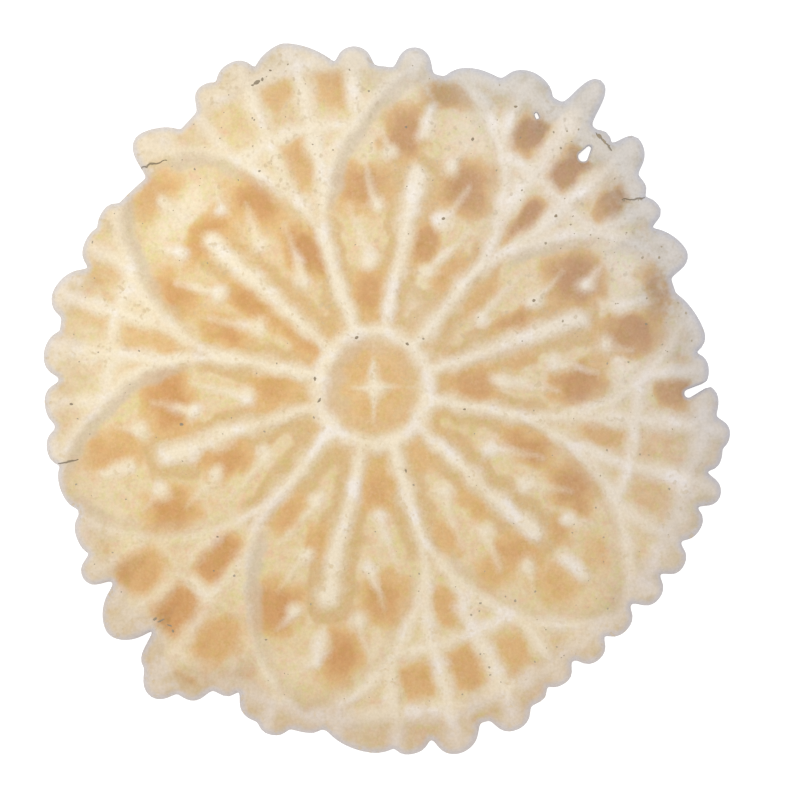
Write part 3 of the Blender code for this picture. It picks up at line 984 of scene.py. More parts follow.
@dataclass(frozen=True)
class Pattern:
    """The engraved pattern: a hub with a star, six petals, and a lattice in the gaps between them.

    Attributes:
        petals: How many petals there are.
        first_petal: Bearing of the first petal's axis.
        foot: How much wider a ridge's foot is than its firm body.
        hub_radius, hub_half_width: Middle of the hub's ring, and half its width.
        star_centre, star_arms, star_pinch: Middle of the star, its size across and along, and the
            power that pinches it between its points.
        petal_half_width, petal_widest: Half the width of a petal, and how far out it is widest.
        rim_half_width: Half the width of the ribs that two petals share.
        rim_inner_half_width, rim_outer_half_width: How wide a petal's rim is inwards and outwards.
        shared_rib_end, club_end: How far out the shared rib and the club in a petal's middle reach.
        club_half_widths, dash_half_widths: Half widths at their inner and outer ends.
        dash: How far out the dash past the club begins and ends.
        drop_side, drops: Distance of the teardrops' heads from the petal's axis, and for each pair
            the distance along it and the length of the tails.
        drop_head, drop_half_widths: Radius of a head, and half widths of a tail.
        fan, fan_half_width: Bearings of the fan's ribs from the gap's axis, and half their width.
        cross_radii, cross_half_widths: The lattice's arcs.
        ring, star, rim, shared_rib, club, dash_press, head, tail, rib, cross: How each comes out.
        ring_shade, rim_shade: What the skirts on the inner sides of the ring and of a petal's rim
            are multiplied by; there they are painted shade, below nought.
        rim_shaded: How far along a petal the painted shade of its rim's skirts begins, and is full.
        club_paler: How far along the club it begins to be paler and is palest, and by how much.
        tail_fade: How much a tail's relief and paleness are less at its end.
        hub_edge: How far to either side of the hub's ring the ridges fade in.
        lattice_edge: How far past a petal's rim the lattice fades in.
    """

    petals: int = 6
    first_petal: float = 18.2
    foot: float = 2.1
    hub_radius: float = 10.2
    hub_half_width: float = 1.3
    star_centre: Point = (0.15, -0.1)
    star_arms: Point = (4.2, 4.6)
    star_pinch: float = 0.45
    petal_half_width: float = 16.0
    petal_widest: float = 35.4
    rim_half_width: float = 1.15
    rim_inner_half_width: float = 0.85
    rim_outer_half_width: float = 1.2
    shared_rib_end: float = 30.0
    club_end: float = 39.3
    club_half_widths: Point = (1.05, 1.4)
    dash: Point = (46.9, 51.3)
    dash_half_widths: Point = (1.2, 0.95)
    drop_side: float = 5.8
    drops: tuple[Point, ...] = ((22.6, 10.4), (32.4, 8.0), (42.3, 4.8))
    drop_head: float = 1.2
    drop_half_widths: Point = (0.9, 0.45)
    fan: tuple[float, ...] = (4.9, 14.6, 24.5)
    fan_half_width: float = 1.25
    cross_radii: Point = (48.2, 59.9)
    cross_half_widths: Point = (1.0, 1.5)
    ring: Press = Press(1.0, 0.95, 0.3)
    star: Press = Press(0.8, 1.1)
    # A rim's skirt is below nought: painted shade on both of its sides.
    rim: Press = Press(0.85, 0.85, -0.2)
    shared_rib: Press = Press(1.0, 0.95, 0.9)
    club: Press = Press(1.0, 0.95, 1.0)
    dash_press: Press = Press(0.9, 0.95)
    head: Press = Press(0.9, 1.0)
    tail: Press = Press(0.8, 0.7)
    rib: Press = Press(0.9, 0.95, 0.3)
    cross: Press = Press(0.75, 0.9)
    # Painted shade: the ring's skirt turns below nought inside it, and a rim's deepens inside the petal.
    ring_shade: float = -2.0
    rim_shade: float = 4.25
    rim_shaded: Point = (26.0, 34.0)
    club_paler: tuple[float, float, float] = (20.0, 38.0, 0.2)
    tail_fade: float = 0.4
    hub_edge: float = 0.8
    lattice_edge: float = 1.2

    @property
    def sector(self) -> float:
        """Degrees from one petal's axis to the next."""
        return FULL_TURN / self.petals

    @property
    def petal_arc(self) -> float:
        """Radius of a petal's side: the circle that is widest where the petal is and touches its rib.

        Returns:
            The radius.
        """
        half = math.radians(self.sector / 2)
        return (self.petal_widest * math.sin(half) - self.petal_half_width * math.cos(half)) / (
            1 - math.cos(half)
        )

    def petal_frame(self, x: Array, y: Array) -> tuple[Array, Array, Array]:
        """Each point's petal and its place in it.

        Args:
            x, y: The points.

        Returns:
            The number of the nearest petal, and the distances across its axis and along it.
        """
        turned = np.degrees(np.arctan2(y, x)) - self.first_petal + self.sector / 2
        number = np.floor(turned / self.sector)
        angle = np.radians(turned - self.sector * (number + 0.5))
        radius = np.hypot(x, y)
        return number.astype(int) % self.petals, -radius * np.sin(angle), radius * np.cos(angle)

    def facing(self, x: Array, y: Array, bearing: float) -> Array:
        """How far that way points lie from the middle of their petal or of the hub, as a cosine.

        Args:
            x, y: The points.
            bearing: The way.

        Returns:
            The cosine at each point.
        """
        number, _, _ = self.petal_frame(x, y)
        middle = np.radians(self.first_petal + number * self.sector)
        away = np.where(np.hypot(x, y) > self.hub_radius, self.petal_widest, 0.0)
        right, up = x - away * np.cos(middle), y - away * np.sin(middle)
        ahead = right * math.cos(math.radians(bearing)) + up * math.sin(math.radians(bearing))
        return ahead / np.maximum(np.hypot(right, up), 1e-6)

    def beyond_petal(self, across: Array, along: Array) -> Array:
        """Distance of points outside the petal's outline, negative inside.

        The outline is the straight shared rib, half a sector from the petal's axis, up to where the
        petal's arc touches it, and then the arc.

        Args:
            across: Distance from the petal's axis, on either side.
            along: Distance along it.

        Returns:
            The distance of each point.
        """
        half = math.radians(self.sector / 2)
        offset = self.petal_arc - self.petal_half_width
        along_rib = across * math.sin(half) + along * math.cos(half)
        touch = self.petal_widest * math.cos(half) - offset * math.sin(half)
        past_rib = across * math.cos(half) - along * math.sin(half)
        past_arc = np.hypot(across + offset, along - self.petal_widest) - self.petal_arc
        return np.where(along_rib < touch, past_rib, past_arc)

    def marks(self, x: Array, y: Array) -> list[Mark]:
        """Every kind of ridge, worked out in one half petal that all the others mirror.

        Args:
            x, y: The points.

        Returns:
            The ridges of the hub, of the petals and of the lattice.
        """
        _, across, along = self.petal_frame(x, y)
        side, radius = np.abs(across), np.hypot(x, y)
        beyond = self.beyond_petal(side, along)
        return [
            *self.hub_marks(x, y, radius),
            *self.petal_marks(side, along, radius, beyond),
            *self.lattice_marks(side, along, radius, beyond),
        ]

    def hub_marks(self, x: Array, y: Array, radius: Array) -> list[Mark]:
        """The ring round the hub, and the star in it.

        The star is where the two distances from its middle, as shares of its arms, sum to less
        than one once both are raised to a power below one, which pinches it between its points.

        Args:
            x, y: The points.
            radius: Their distance from the hub's middle.

        Returns:
            The ridges of the hub.
        """
        shares = [np.abs(v - middle) / arm
                  for v, middle, arm in zip((x, y), self.star_centre, self.star_arms)]
        star = sum(share**self.star_pinch for share in shares) ** (1 / self.star_pinch)
        ring = np.abs(radius - self.hub_radius) / self.hub_half_width
        # Inside the ring its skirt turns below nought: painted shade.
        beside = np.where(radius < self.hub_radius, self.ring_shade, 1.0)
        return [self.ring.mark(ring, beside=beside), self.star.mark(star)]

    def petal_marks(self, side: Array, along: Array, radius: Array, beyond: Array) -> list[Mark]:
        """A petal's rim, the rib it shares, its club, its dash and its teardrops.

        Args:
            side, along: Distance of the points from the petal's axis, and along it.
            radius: Their distance from the hub's middle.
            beyond: Their distance from the petal's outline, negative inside.

        Returns:
            The ridges of a petal.
        """
        half = math.radians(self.sector / 2)
        lean = np.array((math.sin(half), math.cos(half)))
        out = np.array((0.0, 1.0))
        inner, outer = self.hub_radius - self.hub_edge, self.hub_radius + self.hub_edge
        clear_of_hub = between(radius, inner, outer)
        width = np.where(beyond < 0, self.rim_inner_half_width, self.rim_outer_half_width)
        # The rim's skirts are painted shade, deepest inside the petal and from partway along it.
        shaded = np.where(beyond < 0, self.rim_shade, 1.0) * between(along, *self.rim_shaded)
        rib = stroke(side, along, self.hub_radius * lean, self.shared_rib_end * lean,
                     (self.rim_half_width,) * 2)
        club = stroke(side, along, self.hub_radius * out, self.club_end * out, self.club_half_widths)
        dash = stroke(side, along, self.dash[0] * out, self.dash[1] * out, self.dash_half_widths)
        start, end, more = self.club_paler
        paler = self.club.paleness + more * between(along, start, end)
        marks = [
            self.rim.mark(np.abs(beyond) / width, clear_of_hub, shaded),
            self.shared_rib.mark(rib, beside=clear_of_hub),
            Mark(club, self.club.relief, paler, self.club.skirt * clear_of_hub),
            self.dash_press.mark(dash),
        ]
        for distance, length in self.drops:
            head = np.array((self.drop_side, distance))
            apart = np.hypot(side - head[0], along - head[1])
            marks.append(self.head.mark(apart / self.drop_head))
            reach = stroke(side, along, head, head + length * lean, self.drop_half_widths)
            fade = self.tail_fade * eased(apart / length)
            marks.append(Mark(reach, self.tail.relief - fade, self.tail.paleness - fade))
        return marks

    def lattice_marks(self, side: Array, along: Array, radius: Array, beyond: Array) -> list[Mark]:
        """The fan of ribs and the cross arcs between two petals, which fade in past their rims.

        Args:
            side, along: Distance of the points from the petal's axis, and along it.
            radius: Their distance from the hub's middle.
            beyond: Their distance from the petal's outline, negative inside.

        Returns:
            The ridges of a gap.
        """
        shown = between(beyond, 0.0, self.lattice_edge)
        bearing = self.sector / 2 - np.degrees(np.arctan2(side, along))
        marks = []
        for rib in self.fan:
            reach = np.abs(radius * np.sin(np.radians(bearing - rib))) / self.fan_half_width
            marks.append(self.rib.mark(reach, shown, shown))
        for ring, half_width in zip(self.cross_radii, self.cross_half_widths):
            marks.append(self.cross.mark(np.abs(radius - ring) / half_width, shown))
        return marks


# Browning -----------------------------------------------------------------------------------------


@dataclass(frozen=True)
class Pocket:
    """A patch of floor that browned more than the rest.

    Attributes:
        across, along: Its middle, across and along the axis of its petal or gap.
        half_width, half_length: How far it reaches each way.
        depth: How brown it is, from nought to one.
        lean: Degrees by which its length is turned from the axis, towards the right.
    """

    across: float
    along: float
    half_width: float
    half_length: float
    depth: float
    lean: float = 0.0

    def at(self, across: Array, along: Array, haze: float) -> Array:
        """Its depth at each point: a rounded square, full in its middle and gone past its edge.

        Args:
            across, along: The points.
            haze: How far its edge is spread to either side, as a share of its size.

        Returns:
            The depth at each point.
        """
        angle = math.radians(self.lean)
        right, out = across - self.across, along - self.along
        wide = (right * math.cos(angle) - out * math.sin(angle)) / self.half_width
        long = (right * math.sin(angle) + out * math.cos(angle)) / self.half_length
        reach = (np.abs(wide) ** 3 + np.abs(long) ** 3) ** (1 / 3)
        return self.depth * (1 - between(reach, 1 - haze, 1 + haze))


def grouped(*groups: tuple[tuple[float, ...], ...]) -> tuple[tuple[Pocket, ...], ...]:
    """Makes pockets of rows that give a pocket's fields in their order, petal by petal or gap by gap."""
    return tuple(tuple(Pocket(*row) for row in rows) for rows in groups)


# The browned floors in each petal and in each gap, counted round from the first.
PETAL_POCKETS = grouped(
    ((-7.4, 40.6, 4.9, 4.8, 0.95), (5.2, 46.9, 3.7, 5.5, 0.95, 8), (11, 35.4, 3.2, 4.6, 1),
     (5.1, 17.9, 3.2, 4.1, 0.75), (-3.4, 28, 1.9, 4, 0.75), (3.6, 27.5, 1.6, 3, 0.5),
     (-9.6, 24.2, 2.3, 4.2, 0.55, -30), (-1, 54.6, 4.4, 2.5, 0.75)),
    ((-3.8, 46.3, 3.5, 4.8, 0.95), (9.2, 39, 4.5, 4.7, 0.95), (-9.4, 35, 4.8, 4.2, 0.85),
     (4, 27.6, 2.4, 4.3, 0.9, 10), (-4.6, 17, 2.8, 4.1, 0.8), (9.3, 23.3, 2.3, 4.3, 0.55, 30),
     (2.7, 54.7, 3.8, 2.4, 0.65)),
    ((0.2, 41.2, 5.4, 2.4, 0.6), (11.3, 38.5, 3.2, 4.8, 0.85), (-11.7, 38.3, 2.5, 4.6, 0.7),
     (-10.7, 27, 2.5, 4.2, 0.65, -12), (10.5, 26.1, 2.9, 4.2, 0.95, 12), (-3.4, 27.2, 2, 4.5, 0.65),
     (-2.6, 16.3, 1.5, 5, 0.5), (0, 53.4, 5.6, 3.2, 0.5), (0, 30, 13, 17, 0.2)),
    ((-9.7, 41.8, 3.6, 4.4, 0.95), (4, 48.4, 3.7, 4.9, 0.65), (9, 36.3, 5.3, 4.4, 0.95),
     (-4.3, 29.5, 3.1, 4.5, 0.8), (5.1, 17.7, 3.1, 4.1, 0.7)),
    ((-4.3, 49.1, 3.4, 5, 0.95), (9.3, 42.9, 4.5, 4.7, 0.9), (-9.8, 37.4, 4.3, 4.7, 0.75),
     (-4.9, 18.3, 3, 4.8, 0.65), (10.4, 25.8, 2.3, 4.1, 0.65, 28), (4.3, 29.6, 2.2, 3.8, 0.65)),
    ((-10.5, 39.2, 3.5, 4.4, 0.9), (-10.3, 27.6, 2.7, 4.6, 0.9, -14), (-3.1, 42.3, 2.3, 2.4, 0.6),
     (3.8, 39.6, 2.6, 3.8, 0.6), (9.5, 38.4, 4.4, 3.3, 0.55), (11.3, 27.6, 2, 4, 0.5, 14),
     (3.8, 27.6, 1.9, 3.7, 0.55), (-4.5, 17, 2.4, 4, 0.15), (4.2, 16.5, 2.2, 3.4, 0.3),
     (4.5, 48.5, 3.6, 4.4, 0.5), (-4.5, 50, 3, 3.6, 0.35)),
)
GAP_POCKETS = grouped(
    ((0.2, 52.4, 3, 4.2, 0.95), (10.4, 53.4, 2.5, 4.3, 0.75), (-9.6, 52.7, 2.9, 4.3, 0.95),
     (0.2, 40.8, 2, 4.8, 0.95)),
    ((-0.3, 56.6, 3.2, 2.6, 0.45), (10, 54.2, 3, 4, 0.5), (0.1, 43, 2.8, 4.6, 0.55),
     (-9.3, 54, 3, 4, 0.2), (0, 51.5, 2.6, 2.6, 0.1)),
    ((-1.5, 40.5, 5, 6.5, 0.38), (10.8, 52.2, 2.4, 3.4, 0.28), (1.8, 52.5, 2, 4, 0.25)),
    ((-0.2, 54, 4, 5.2, 0.9), (9.2, 53.1, 4, 5.2, 0.7), (-9.6, 53.4, 4, 5.4, 0.6),
     (0.3, 41.8, 3, 5.3, 0.95), (-9.8, 63, 2.7, 1.7, 1)),
    ((0, 53.6, 3, 4.2, 0.6), (9, 53.4, 3, 3.8, 0.6), (-9, 53.4, 3, 3.8, 0.5), (0, 42, 2.3, 4.2, 0.6)),
    ((-10.2, 53.6, 2.6, 3.5, 0.8), (0.4, 54.5, 3, 4.8, 0.2), (9.1, 54, 3, 4.1, 0.3),
     (0, 42.6, 2.2, 4.1, 0.6)),
)
HUB_POCKET = Pocket(0, 0, 12, 12, 0.42)
# Floors that stayed pale and dusty; below nought, even the ridges there took some colour.
PETAL_FROST = grouped(
    ((-7.5, 51.5, 6, 4.6, 0.8), (9, 44.6, 6, 2.2, 0.6), (0, 44, 3, 3, 0.5), (2, 31, 7, 8, 0.2)),
    ((-7, 54.5, 4, 3, 0.6), (8.5, 49.5, 4.4, 4.4, 0.5), (-10, 43, 3.4, 3, 0.4), (4.5, 15, 3, 6, 0.75)),
    ((0, 46.6, 6.4, 2.6, 0.9),),
    ((-4, 53.5, 4.5, 3.4, 0.4), (-8.5, 49, 3, 3.5, 0.3), (-14, 42, 6, 14, -0.3)),
    ((-8.5, 45.5, 3.6, 3.4, 0.4), (4.5, 53, 3.6, 3, 0.3), (14, 44, 6, 14, -0.3)),
    ((0, 46, 5, 3, 0.3), (4.6, 15, 3, 6, 0.5)),
)
GAP_FROST = grouped(
    ((0, 47, 9, 3, 0.4), (0, 60, 18, 3, 0.5)),
    ((0, 58, 18, 5, 0.2), (0, 48, 9, 2.5, 0.4)),
    ((-6, 52, 5, 6, 0.5), (9, 47, 5, 3, 0.5)),
    ((0, 54, 17, 12, -0.45), (-1, 48, 3, 2, 0.5)),
    (),
    ((0, 60, 18, 4, 0.4), (-10, 46, 5, 5, 0.4)),
)
# How much darker the brim is, by bearing.
BRIM_SHADE = (
    (8, 0.75), (42, 1.25), (90, 0.55), (147, 0.6), (192, 0.55), (237, 1.0), (290, 0.8), (330, 0.6),
)


@dataclass(frozen=True)
class Patches:
    """Patches laid out in the petals and gaps, with their edges made uneven.

    Attributes:
        pattern: The pattern whose petals and gaps hold them.
        petals, gaps: The patches of each petal and of each gap.
        hub: Patches that are placed from the hub's middle.
        haze: How far their edges are spread in the petals, and in the gaps.
        wander: How far their edges wander.
        ripples: Unevenness across and along.
    """

    pattern: Pattern
    petals: tuple[tuple[Pocket, ...], ...]
    gaps: tuple[tuple[Pocket, ...], ...] = ()
    hub: tuple[Pocket, ...] = ()
    haze: tuple[float, float] = (0.7, 0.45)
    wander: float = 0.35
    ripples: tuple[Ripple, Ripple] = (Ripple(11, 4.5), Ripple(12, 4.5))

    def at(self, x: Array, y: Array) -> Array:
        """How deep the patches are at each point: the sum of them all.

        Args:
            x, y: The points.

        Returns:
            The depth at each point.
        """
        moved_x = x + self.wander * self.ripples[0].at(x, y)
        moved_y = y + self.wander * self.ripples[1].at(x, y)
        depth = np.zeros(np.shape(x))
        petal, gap = self.pattern.first_petal, self.pattern.first_petal + self.pattern.sector / 2
        petal_haze, gap_haze = self.haze
        for first, groups, haze in ((petal, self.petals, petal_haze), (gap, self.gaps, gap_haze),
                                    (90.0, (self.hub,), gap_haze)):
            for number, patches in enumerate(groups):
                out = polar(1, first + number * self.pattern.sector)
                across = moved_x * out[1] - moved_y * out[0]
                along = moved_x * out[0] + moved_y * out[1]
                for patch in patches:
                    depth += patch.at(across, along, haze)
        return depth


# The wafer's skin ---------------------------------------------------------------------------------


@dataclass
class Skin:
    """A closed mesh in the making: its points in millimetres, its faces, and a value per point."""

    points: Array
    faces: Array
    values: dict[str, Array]

    def made(self, name: str, smooth: bool) -> bpy.types.Object:
        """Puts the arrays into a mesh object at the origin, in metres.

        Args:
            name: Name of the piece.
            smooth: Whether its faces are shaded smooth.

        Returns:
            The new object.
        """
        mesh = bpy.data.meshes.new(name)
        mesh.vertices.add(len(self.points))
        mesh.vertices.foreach_set("co", (self.points * MM).astype(np.float32).ravel())
        mesh.loops.add(self.faces.size)
        mesh.loops.foreach_set("vertex_index", self.faces.astype(np.int32).ravel())
        mesh.polygons.add(len(self.faces))
        starts = np.arange(len(self.faces), dtype=np.int32) * self.faces.shape[1]
        mesh.polygons.foreach_set("loop_start", starts)
        mesh.polygons.foreach_set("use_smooth", np.full(len(self.faces), smooth))
        mesh.update(calc_edges=True)
        for label, value in self.values.items():
            layer = mesh.attributes.new(label, "FLOAT", "POINT")
            layer.data.foreach_set("value", np.asarray(value, np.float32))
        piece = bpy.data.objects.new(name, mesh)
        bpy.context.scene.collection.objects.link(piece)
        return piece


@dataclass
class Wafer:
    """The pressed wafer: a web with rounded ridges on both faces and a soft edge.

    Attributes:
        thickness: Height over the ridges of both faces.
        web: Thickness of the floor between the ridges.
        pitch: Side of the triangles that its faces are made of.
        snap: How near the faces' border a lattice point is moved onto it, as a share of the pitch.
        nearby, least_slope: How close to the border, counted in its cover, a point's distance from
            it is worked out, and the least slope of the cover that is reckoned with.
        edge_rows: Rows of faces that round the edge off.
        shoulder: How far in the edge's rounding reaches, counted in the width of those rows.
        fillet: Power with which ridges meet in fillets.
        pale_foot: How much wider than its foot a ridge's pale band is.
        pale_fillet: Power with which the pale bands meet.
        skirt_middle, skirt_width: Where the skirt runs beside a ridge, counted in its foot.
        wander: How far the pressed lines wander from the engraved ones.
        jitter: How much of that wander comes from the finer waves.
        bends, jitters: The broad and the fine waves of it.
        swell, swell_share: Unevenness of the ridges' width, and how great it is.
        filling, filled: Unevenness with which the batter filled the plates, its middle and reach,
            and the least and the most of it.
        tallest: The most that ridges which meet may stand above one alone, without knobs and with.
        knob_lumps, knob_height: Unevenness of the knobs, and their height and its spread.
        lumps, grain: For the broad and for the fine lumps the first seed, the length and the share,
            and their height.
        curl, curled: How far the rim lifts in places, and how far out that begins and is full.
        lift: Where it lifts.
        whitening, white_share: Unevenness of the paleness, and its middle and reach.
        brim: How far from the outline the brim is full, and where it ends.
        shaded_side: Bearing of the side of each petal's rim, and of the ring, where the painted shade is
            deepest: the side towards the lamp, whose inner slope turns away from it.
        shaded: The least of that painted shade, and how much it grows to that side.
        pale_over_brown: How paleness takes the browning away: its slope and where it starts.
        knob_over_brown: How much of the browning a knob takes away.
        brownest: The most that pockets which overlap may brown.
        rim, pattern: The outline, and what is pressed.
        finish: What the wafer is dressed in.
    """

    thickness: float
    web: float = 1.4
    pitch: float = 0.58
    snap: float = 0.3
    nearby: float = 1.5
    least_slope: float = 0.1
    edge_rows: int = 8
    shoulder: float = 2.6
    fillet: float = 4.0
    pale_foot: float = 1.15
    pale_fillet: float = 5.0
    skirt_middle: float = 1.2
    skirt_width: float = 0.8
    wander: float = 0.22
    jitter: float = 0.35
    bends: tuple[Ripple, Ripple] = (Ripple(1, 17.0), Ripple(2, 17.0))
    jitters: tuple[Ripple, Ripple] = (Ripple(3, 4.0), Ripple(4, 4.0))
    swell: Ripple = Ripple(5, 5.0)
    swell_share: float = 0.1
    filling: Ripple = Ripple(6, 12.0)
    filled: tuple[float, float, float, float] = (0.9, 0.1, 0.7, 1.05)
    tallest: Point = (1.08, 1.05)
    knob_lumps: Ripple = Ripple(21, 3.4)
    knob_height: Point = (0.85, 0.13)
    lumps: tuple[tuple[int, float, float], ...] = ((7, 2.6, 1.0), (17, 1.4, 0.7))
    grain: float = 0.035
    curl: float = 0.35
    curled: Point = (42.0, 68.0)
    lift: Ripple = Ripple(8, 24.0)
    whitening: Ripple = Ripple(31, 8.0)
    white_share: Point = (0.97, 0.09)
    brim: Point = (0.5, 13.0)
    # Painted shade: deepest on the rims' side towards the upper-left lamp.
    shaded_side: float = 150.0
    shaded: Point = (0.3, 0.8)
    pale_over_brown: Point = (1.2, -0.42)
    knob_over_brown: float = 0.7
    brownest: float = 1.1
    rim: Rim = field(default_factory=Rim)
    pattern: Pattern = field(default_factory=Pattern)
    finish: BatterFinish = BatterFinish()

    @property
    def relief(self) -> float:
        """Height of the tallest ridges above the web, on either face."""
        return (self.thickness - self.web) / 2

    def pressed(self, x: Array, y: Array) -> tuple[Array, Array, Array]:
        """The height, the paleness and the skirt of the ridges at each point, as shares.

        Both come from the same marks: the height is the soft maximum of their bells, and the
        paleness that of somewhat wider ones. The lines wander a little, and the batter filled
        some stretches of the plates better than others.

        Args:
            x, y: The points.

        Returns:
            The height, the paleness and the skirt at each point.
        """
        moved_x, moved_y = (
            v + self.wander * (bend.at(x, y) + self.jitter * fine.at(x, y))
            for v, bend, fine in zip((x, y), self.bends, self.jitters)
        )
        marks = self.pattern.marks(moved_x, moved_y)
        foot = self.pattern.foot * (1 + self.swell_share * self.swell.at(x, y))
        height = soft_maximum([m.relief * bell(m.reach / foot) for m in marks], self.fillet)
        pale = [m.paleness * bell(m.reach / (self.pale_foot * foot)) for m in marks]
        skirt = sum(
            m.skirt * bell((m.reach / foot - self.skirt_middle) / self.skirt_width) for m in marks
        )
        middle, reach, least, most = self.filled
        filled = np.clip(middle + reach * self.filling.at(x, y), least, most)
        height = np.minimum(height, self.tallest[0]) * filled
        return height, soft_maximum(pale, self.pale_fillet), skirt

    def heights(self, x: Array, y: Array, side: Side) -> Array:
        """Height of a face above its half of the web's thickness, at each point.

        Args:
            x, y: The points.
            side: The face.

        Returns:
            The height at each point.
        """
        pressed, _, _ = self.pressed(x, y)
        middle, reach = self.knob_height
        knob = self.rim.knobbiness(x, y) * (middle + reach * self.knob_lumps.at(x, y))
        full = soft_maximum([pressed, knob], self.fillet)
        lumps = sum(
            share * Ripple(seed + side.value, length).at(x, y) for seed, length, share in self.lumps
        )
        return self.relief * np.minimum(full, self.tallest[1]) + self.grain * lumps

    def top(self, x: Array, y: Array) -> Array:
        """Height of the upper face at each point."""
        half = self.web / 2 + self.heights(x, y, Side.UPPER)
        return self.middle(x, y) + self.rounded(x, y) * half

    def rounded(self, x: Array, y: Array) -> Array:
        """What is left of the thickness near the edge, as a quarter of an ellipse."""
        return np.sqrt(1 - (1 - self.inland(x, y)) ** 2)

    def inland(self, x: Array, y: Array) -> Array:
        """How far points are from the edge, from nought on it to one where the rounding is over."""
        return np.clip(self.rim.cover(x, y) / self.shoulder, 0, 1)

    def middle(self, x: Array, y: Array) -> Array:
        """Height of the web's middle: level, but for the rim's curl."""
        lift = 0.5 + 0.5 * np.clip(self.lift.at(x, y), -1, 1)
        return self.thickness / 2 + self.curl * lift * between(np.hypot(x, y), *self.curled)

    def lattice(self) -> tuple[Array, Array]:
        """Points of a triangular lattice over the wafer, and its triangles, counter-clockwise.

        Returns:
            The points in plan, and the three corners' numbers of each triangle.
        """
        reach = self.rim.edge.max() + 2 * self.pitch
        rise = self.pitch * math.sqrt(0.75)
        columns, rows = (2 * round(reach / step) + 1 for step in (self.pitch, rise))
        column, row = np.meshgrid(np.arange(columns), np.arange(rows))
        x = (column - columns // 2 + 0.5 * (row % 2)) * self.pitch
        y = (row - rows // 2) * rise
        number = row * columns + column
        low, high = number[:-1, :-1], number[1:, :-1]
        odd = (row[:-1, :-1] % 2).astype(bool)
        first = np.where(odd[..., None], np.stack([low, low + 1, high + 1], -1),
                         np.stack([low, low + 1, high], -1))
        second = np.where(odd[..., None], np.stack([low, high + 1, high], -1),
                          np.stack([low + 1, high + 1, high], -1))
        triangles = np.concatenate([first.reshape(-1, 3), second.reshape(-1, 3)])
        return np.stack([x.ravel(), y.ravel()], axis=1), triangles

    def slope(self, points: Array, step: float = 0.02) -> tuple[Array, Array]:
        """The rim's cover at each point, and its rate of change across the two directions.

        The rate is the difference between two points a step to either side, over two steps.

        Args:
            points: The points in plan.
            step: How far to either side the cover is taken.

        Returns:
            The cover, and its rate of change in X and in Y.
        """
        x, y = points.T
        rates = [
            (self.rim.cover(x + right, y + up) - self.rim.cover(x - right, y - up)) / (2 * step)
            for right, up in ((step, 0.0), (0.0, step))
        ]
        return self.rim.cover(x, y), np.stack(rates, axis=1)

    def carried(self, points: Array, cover: float, steps: int = 4, level: float = 0.05) -> Array:
        """Points moved along the cover's slope until it has the given value there.

        Args:
            points: The points in plan.
            cover: The value.
            steps: How often the way left is worked out anew.
            level: The least square of the slope that is reckoned with.

        Returns:
            The moved points.
        """
        points = points.copy()
        for _ in range(steps):
            here, slope = self.slope(points)
            steep = np.maximum((slope**2).sum(axis=1), level)
            points += ((cover - here) / steep)[:, None] * slope
        return points

    def snapped(self) -> tuple[Array, Array, Array]:
        """The lattice with the points that are close to the faces' border moved onto it.

        Returns:
            The points, how far inside the border each is, and the triangles.
        """
        points, triangles = self.lattice()
        inside = self.rim.cover(*points.T) - 1
        close = np.flatnonzero(np.abs(inside) < self.nearby)
        _, slope = self.slope(points[close])
        steep = np.maximum(np.linalg.norm(slope, axis=1), self.least_slope)
        reach = np.abs(inside[close]) / steep
        near = close[reach < self.snap * self.pitch]
        points[near] = self.carried(points[near], 1.0)
        inside[near] = 0.0
        return points, inside, triangles

    def trimmed(self) -> tuple[Array, Array]:
        """The lattice cut to the border where the edge's rounding begins.

        Each side of a triangle that the border crosses gets a point where its cover, taken as even
        along the side, passes one. The corners inside and those points, in order round the
        triangle, make one triangle or two.

        Returns:
            The points in plan and the triangles between them.
        """
        points, inside, triangles = self.snapped()
        kept = triangles[(inside[triangles] > 0).any(axis=1)]
        crossed = (inside[kept] < 0).any(axis=1)
        whole, mixed = kept[~crossed], kept[crossed]
        after = np.roll(mixed, -1, axis=1)
        cuts = inside[mixed] * inside[after] < 0
        pairs = np.sort(np.stack([mixed, after], axis=-1)[cuts], axis=1)
        ends, which = np.unique(pairs, axis=0, return_inverse=True)
        first, second = ends.T
        share = inside[first] / (inside[first] - inside[second])
        cut_points = points[first] + share[:, None] * (points[second] - points[first])
        cut_points = self.carried(cut_points, 1.0, steps=2)

        slots = np.empty((len(mixed), 6), int)
        usable = np.empty((len(mixed), 6), bool)
        slots[:, 0::2], usable[:, 0::2] = mixed, inside[mixed] >= 0
        edge_numbers = np.zeros(mixed.shape, int)
        edge_numbers[cuts] = len(points) + which.ravel()
        slots[:, 1::2], usable[:, 1::2] = edge_numbers, cuts
        order = np.argsort(~usable, axis=1, kind="stable")
        slots = np.take_along_axis(slots, order, axis=1)
        corners = usable.sum(axis=1)
        pieces = [whole, slots[corners >= 3][:, [0, 1, 2]], slots[corners == 4][:, [0, 2, 3]]]
        points = np.concatenate([points, cut_points])
        used, triangles = np.unique(np.concatenate(pieces), return_inverse=True)
        return points[used], triangles.reshape(-1, 3)

    def border(self, triangles: Array, count: int) -> Array:
        """Edges that only one triangle has, each running with the wafer on its left.

        Args:
            triangles: The three corners' numbers of each triangle.
            count: How many points there are.

        Returns:
            The two ends' numbers of each edge.
        """
        edges = np.concatenate([triangles[:, [0, 1]], triangles[:, [1, 2]], triangles[:, [2, 0]]])
        forward = edges[:, 0] * count + edges[:, 1]
        backward = edges[:, 1] * count + edges[:, 0]
        return edges[~np.isin(forward, backward)]

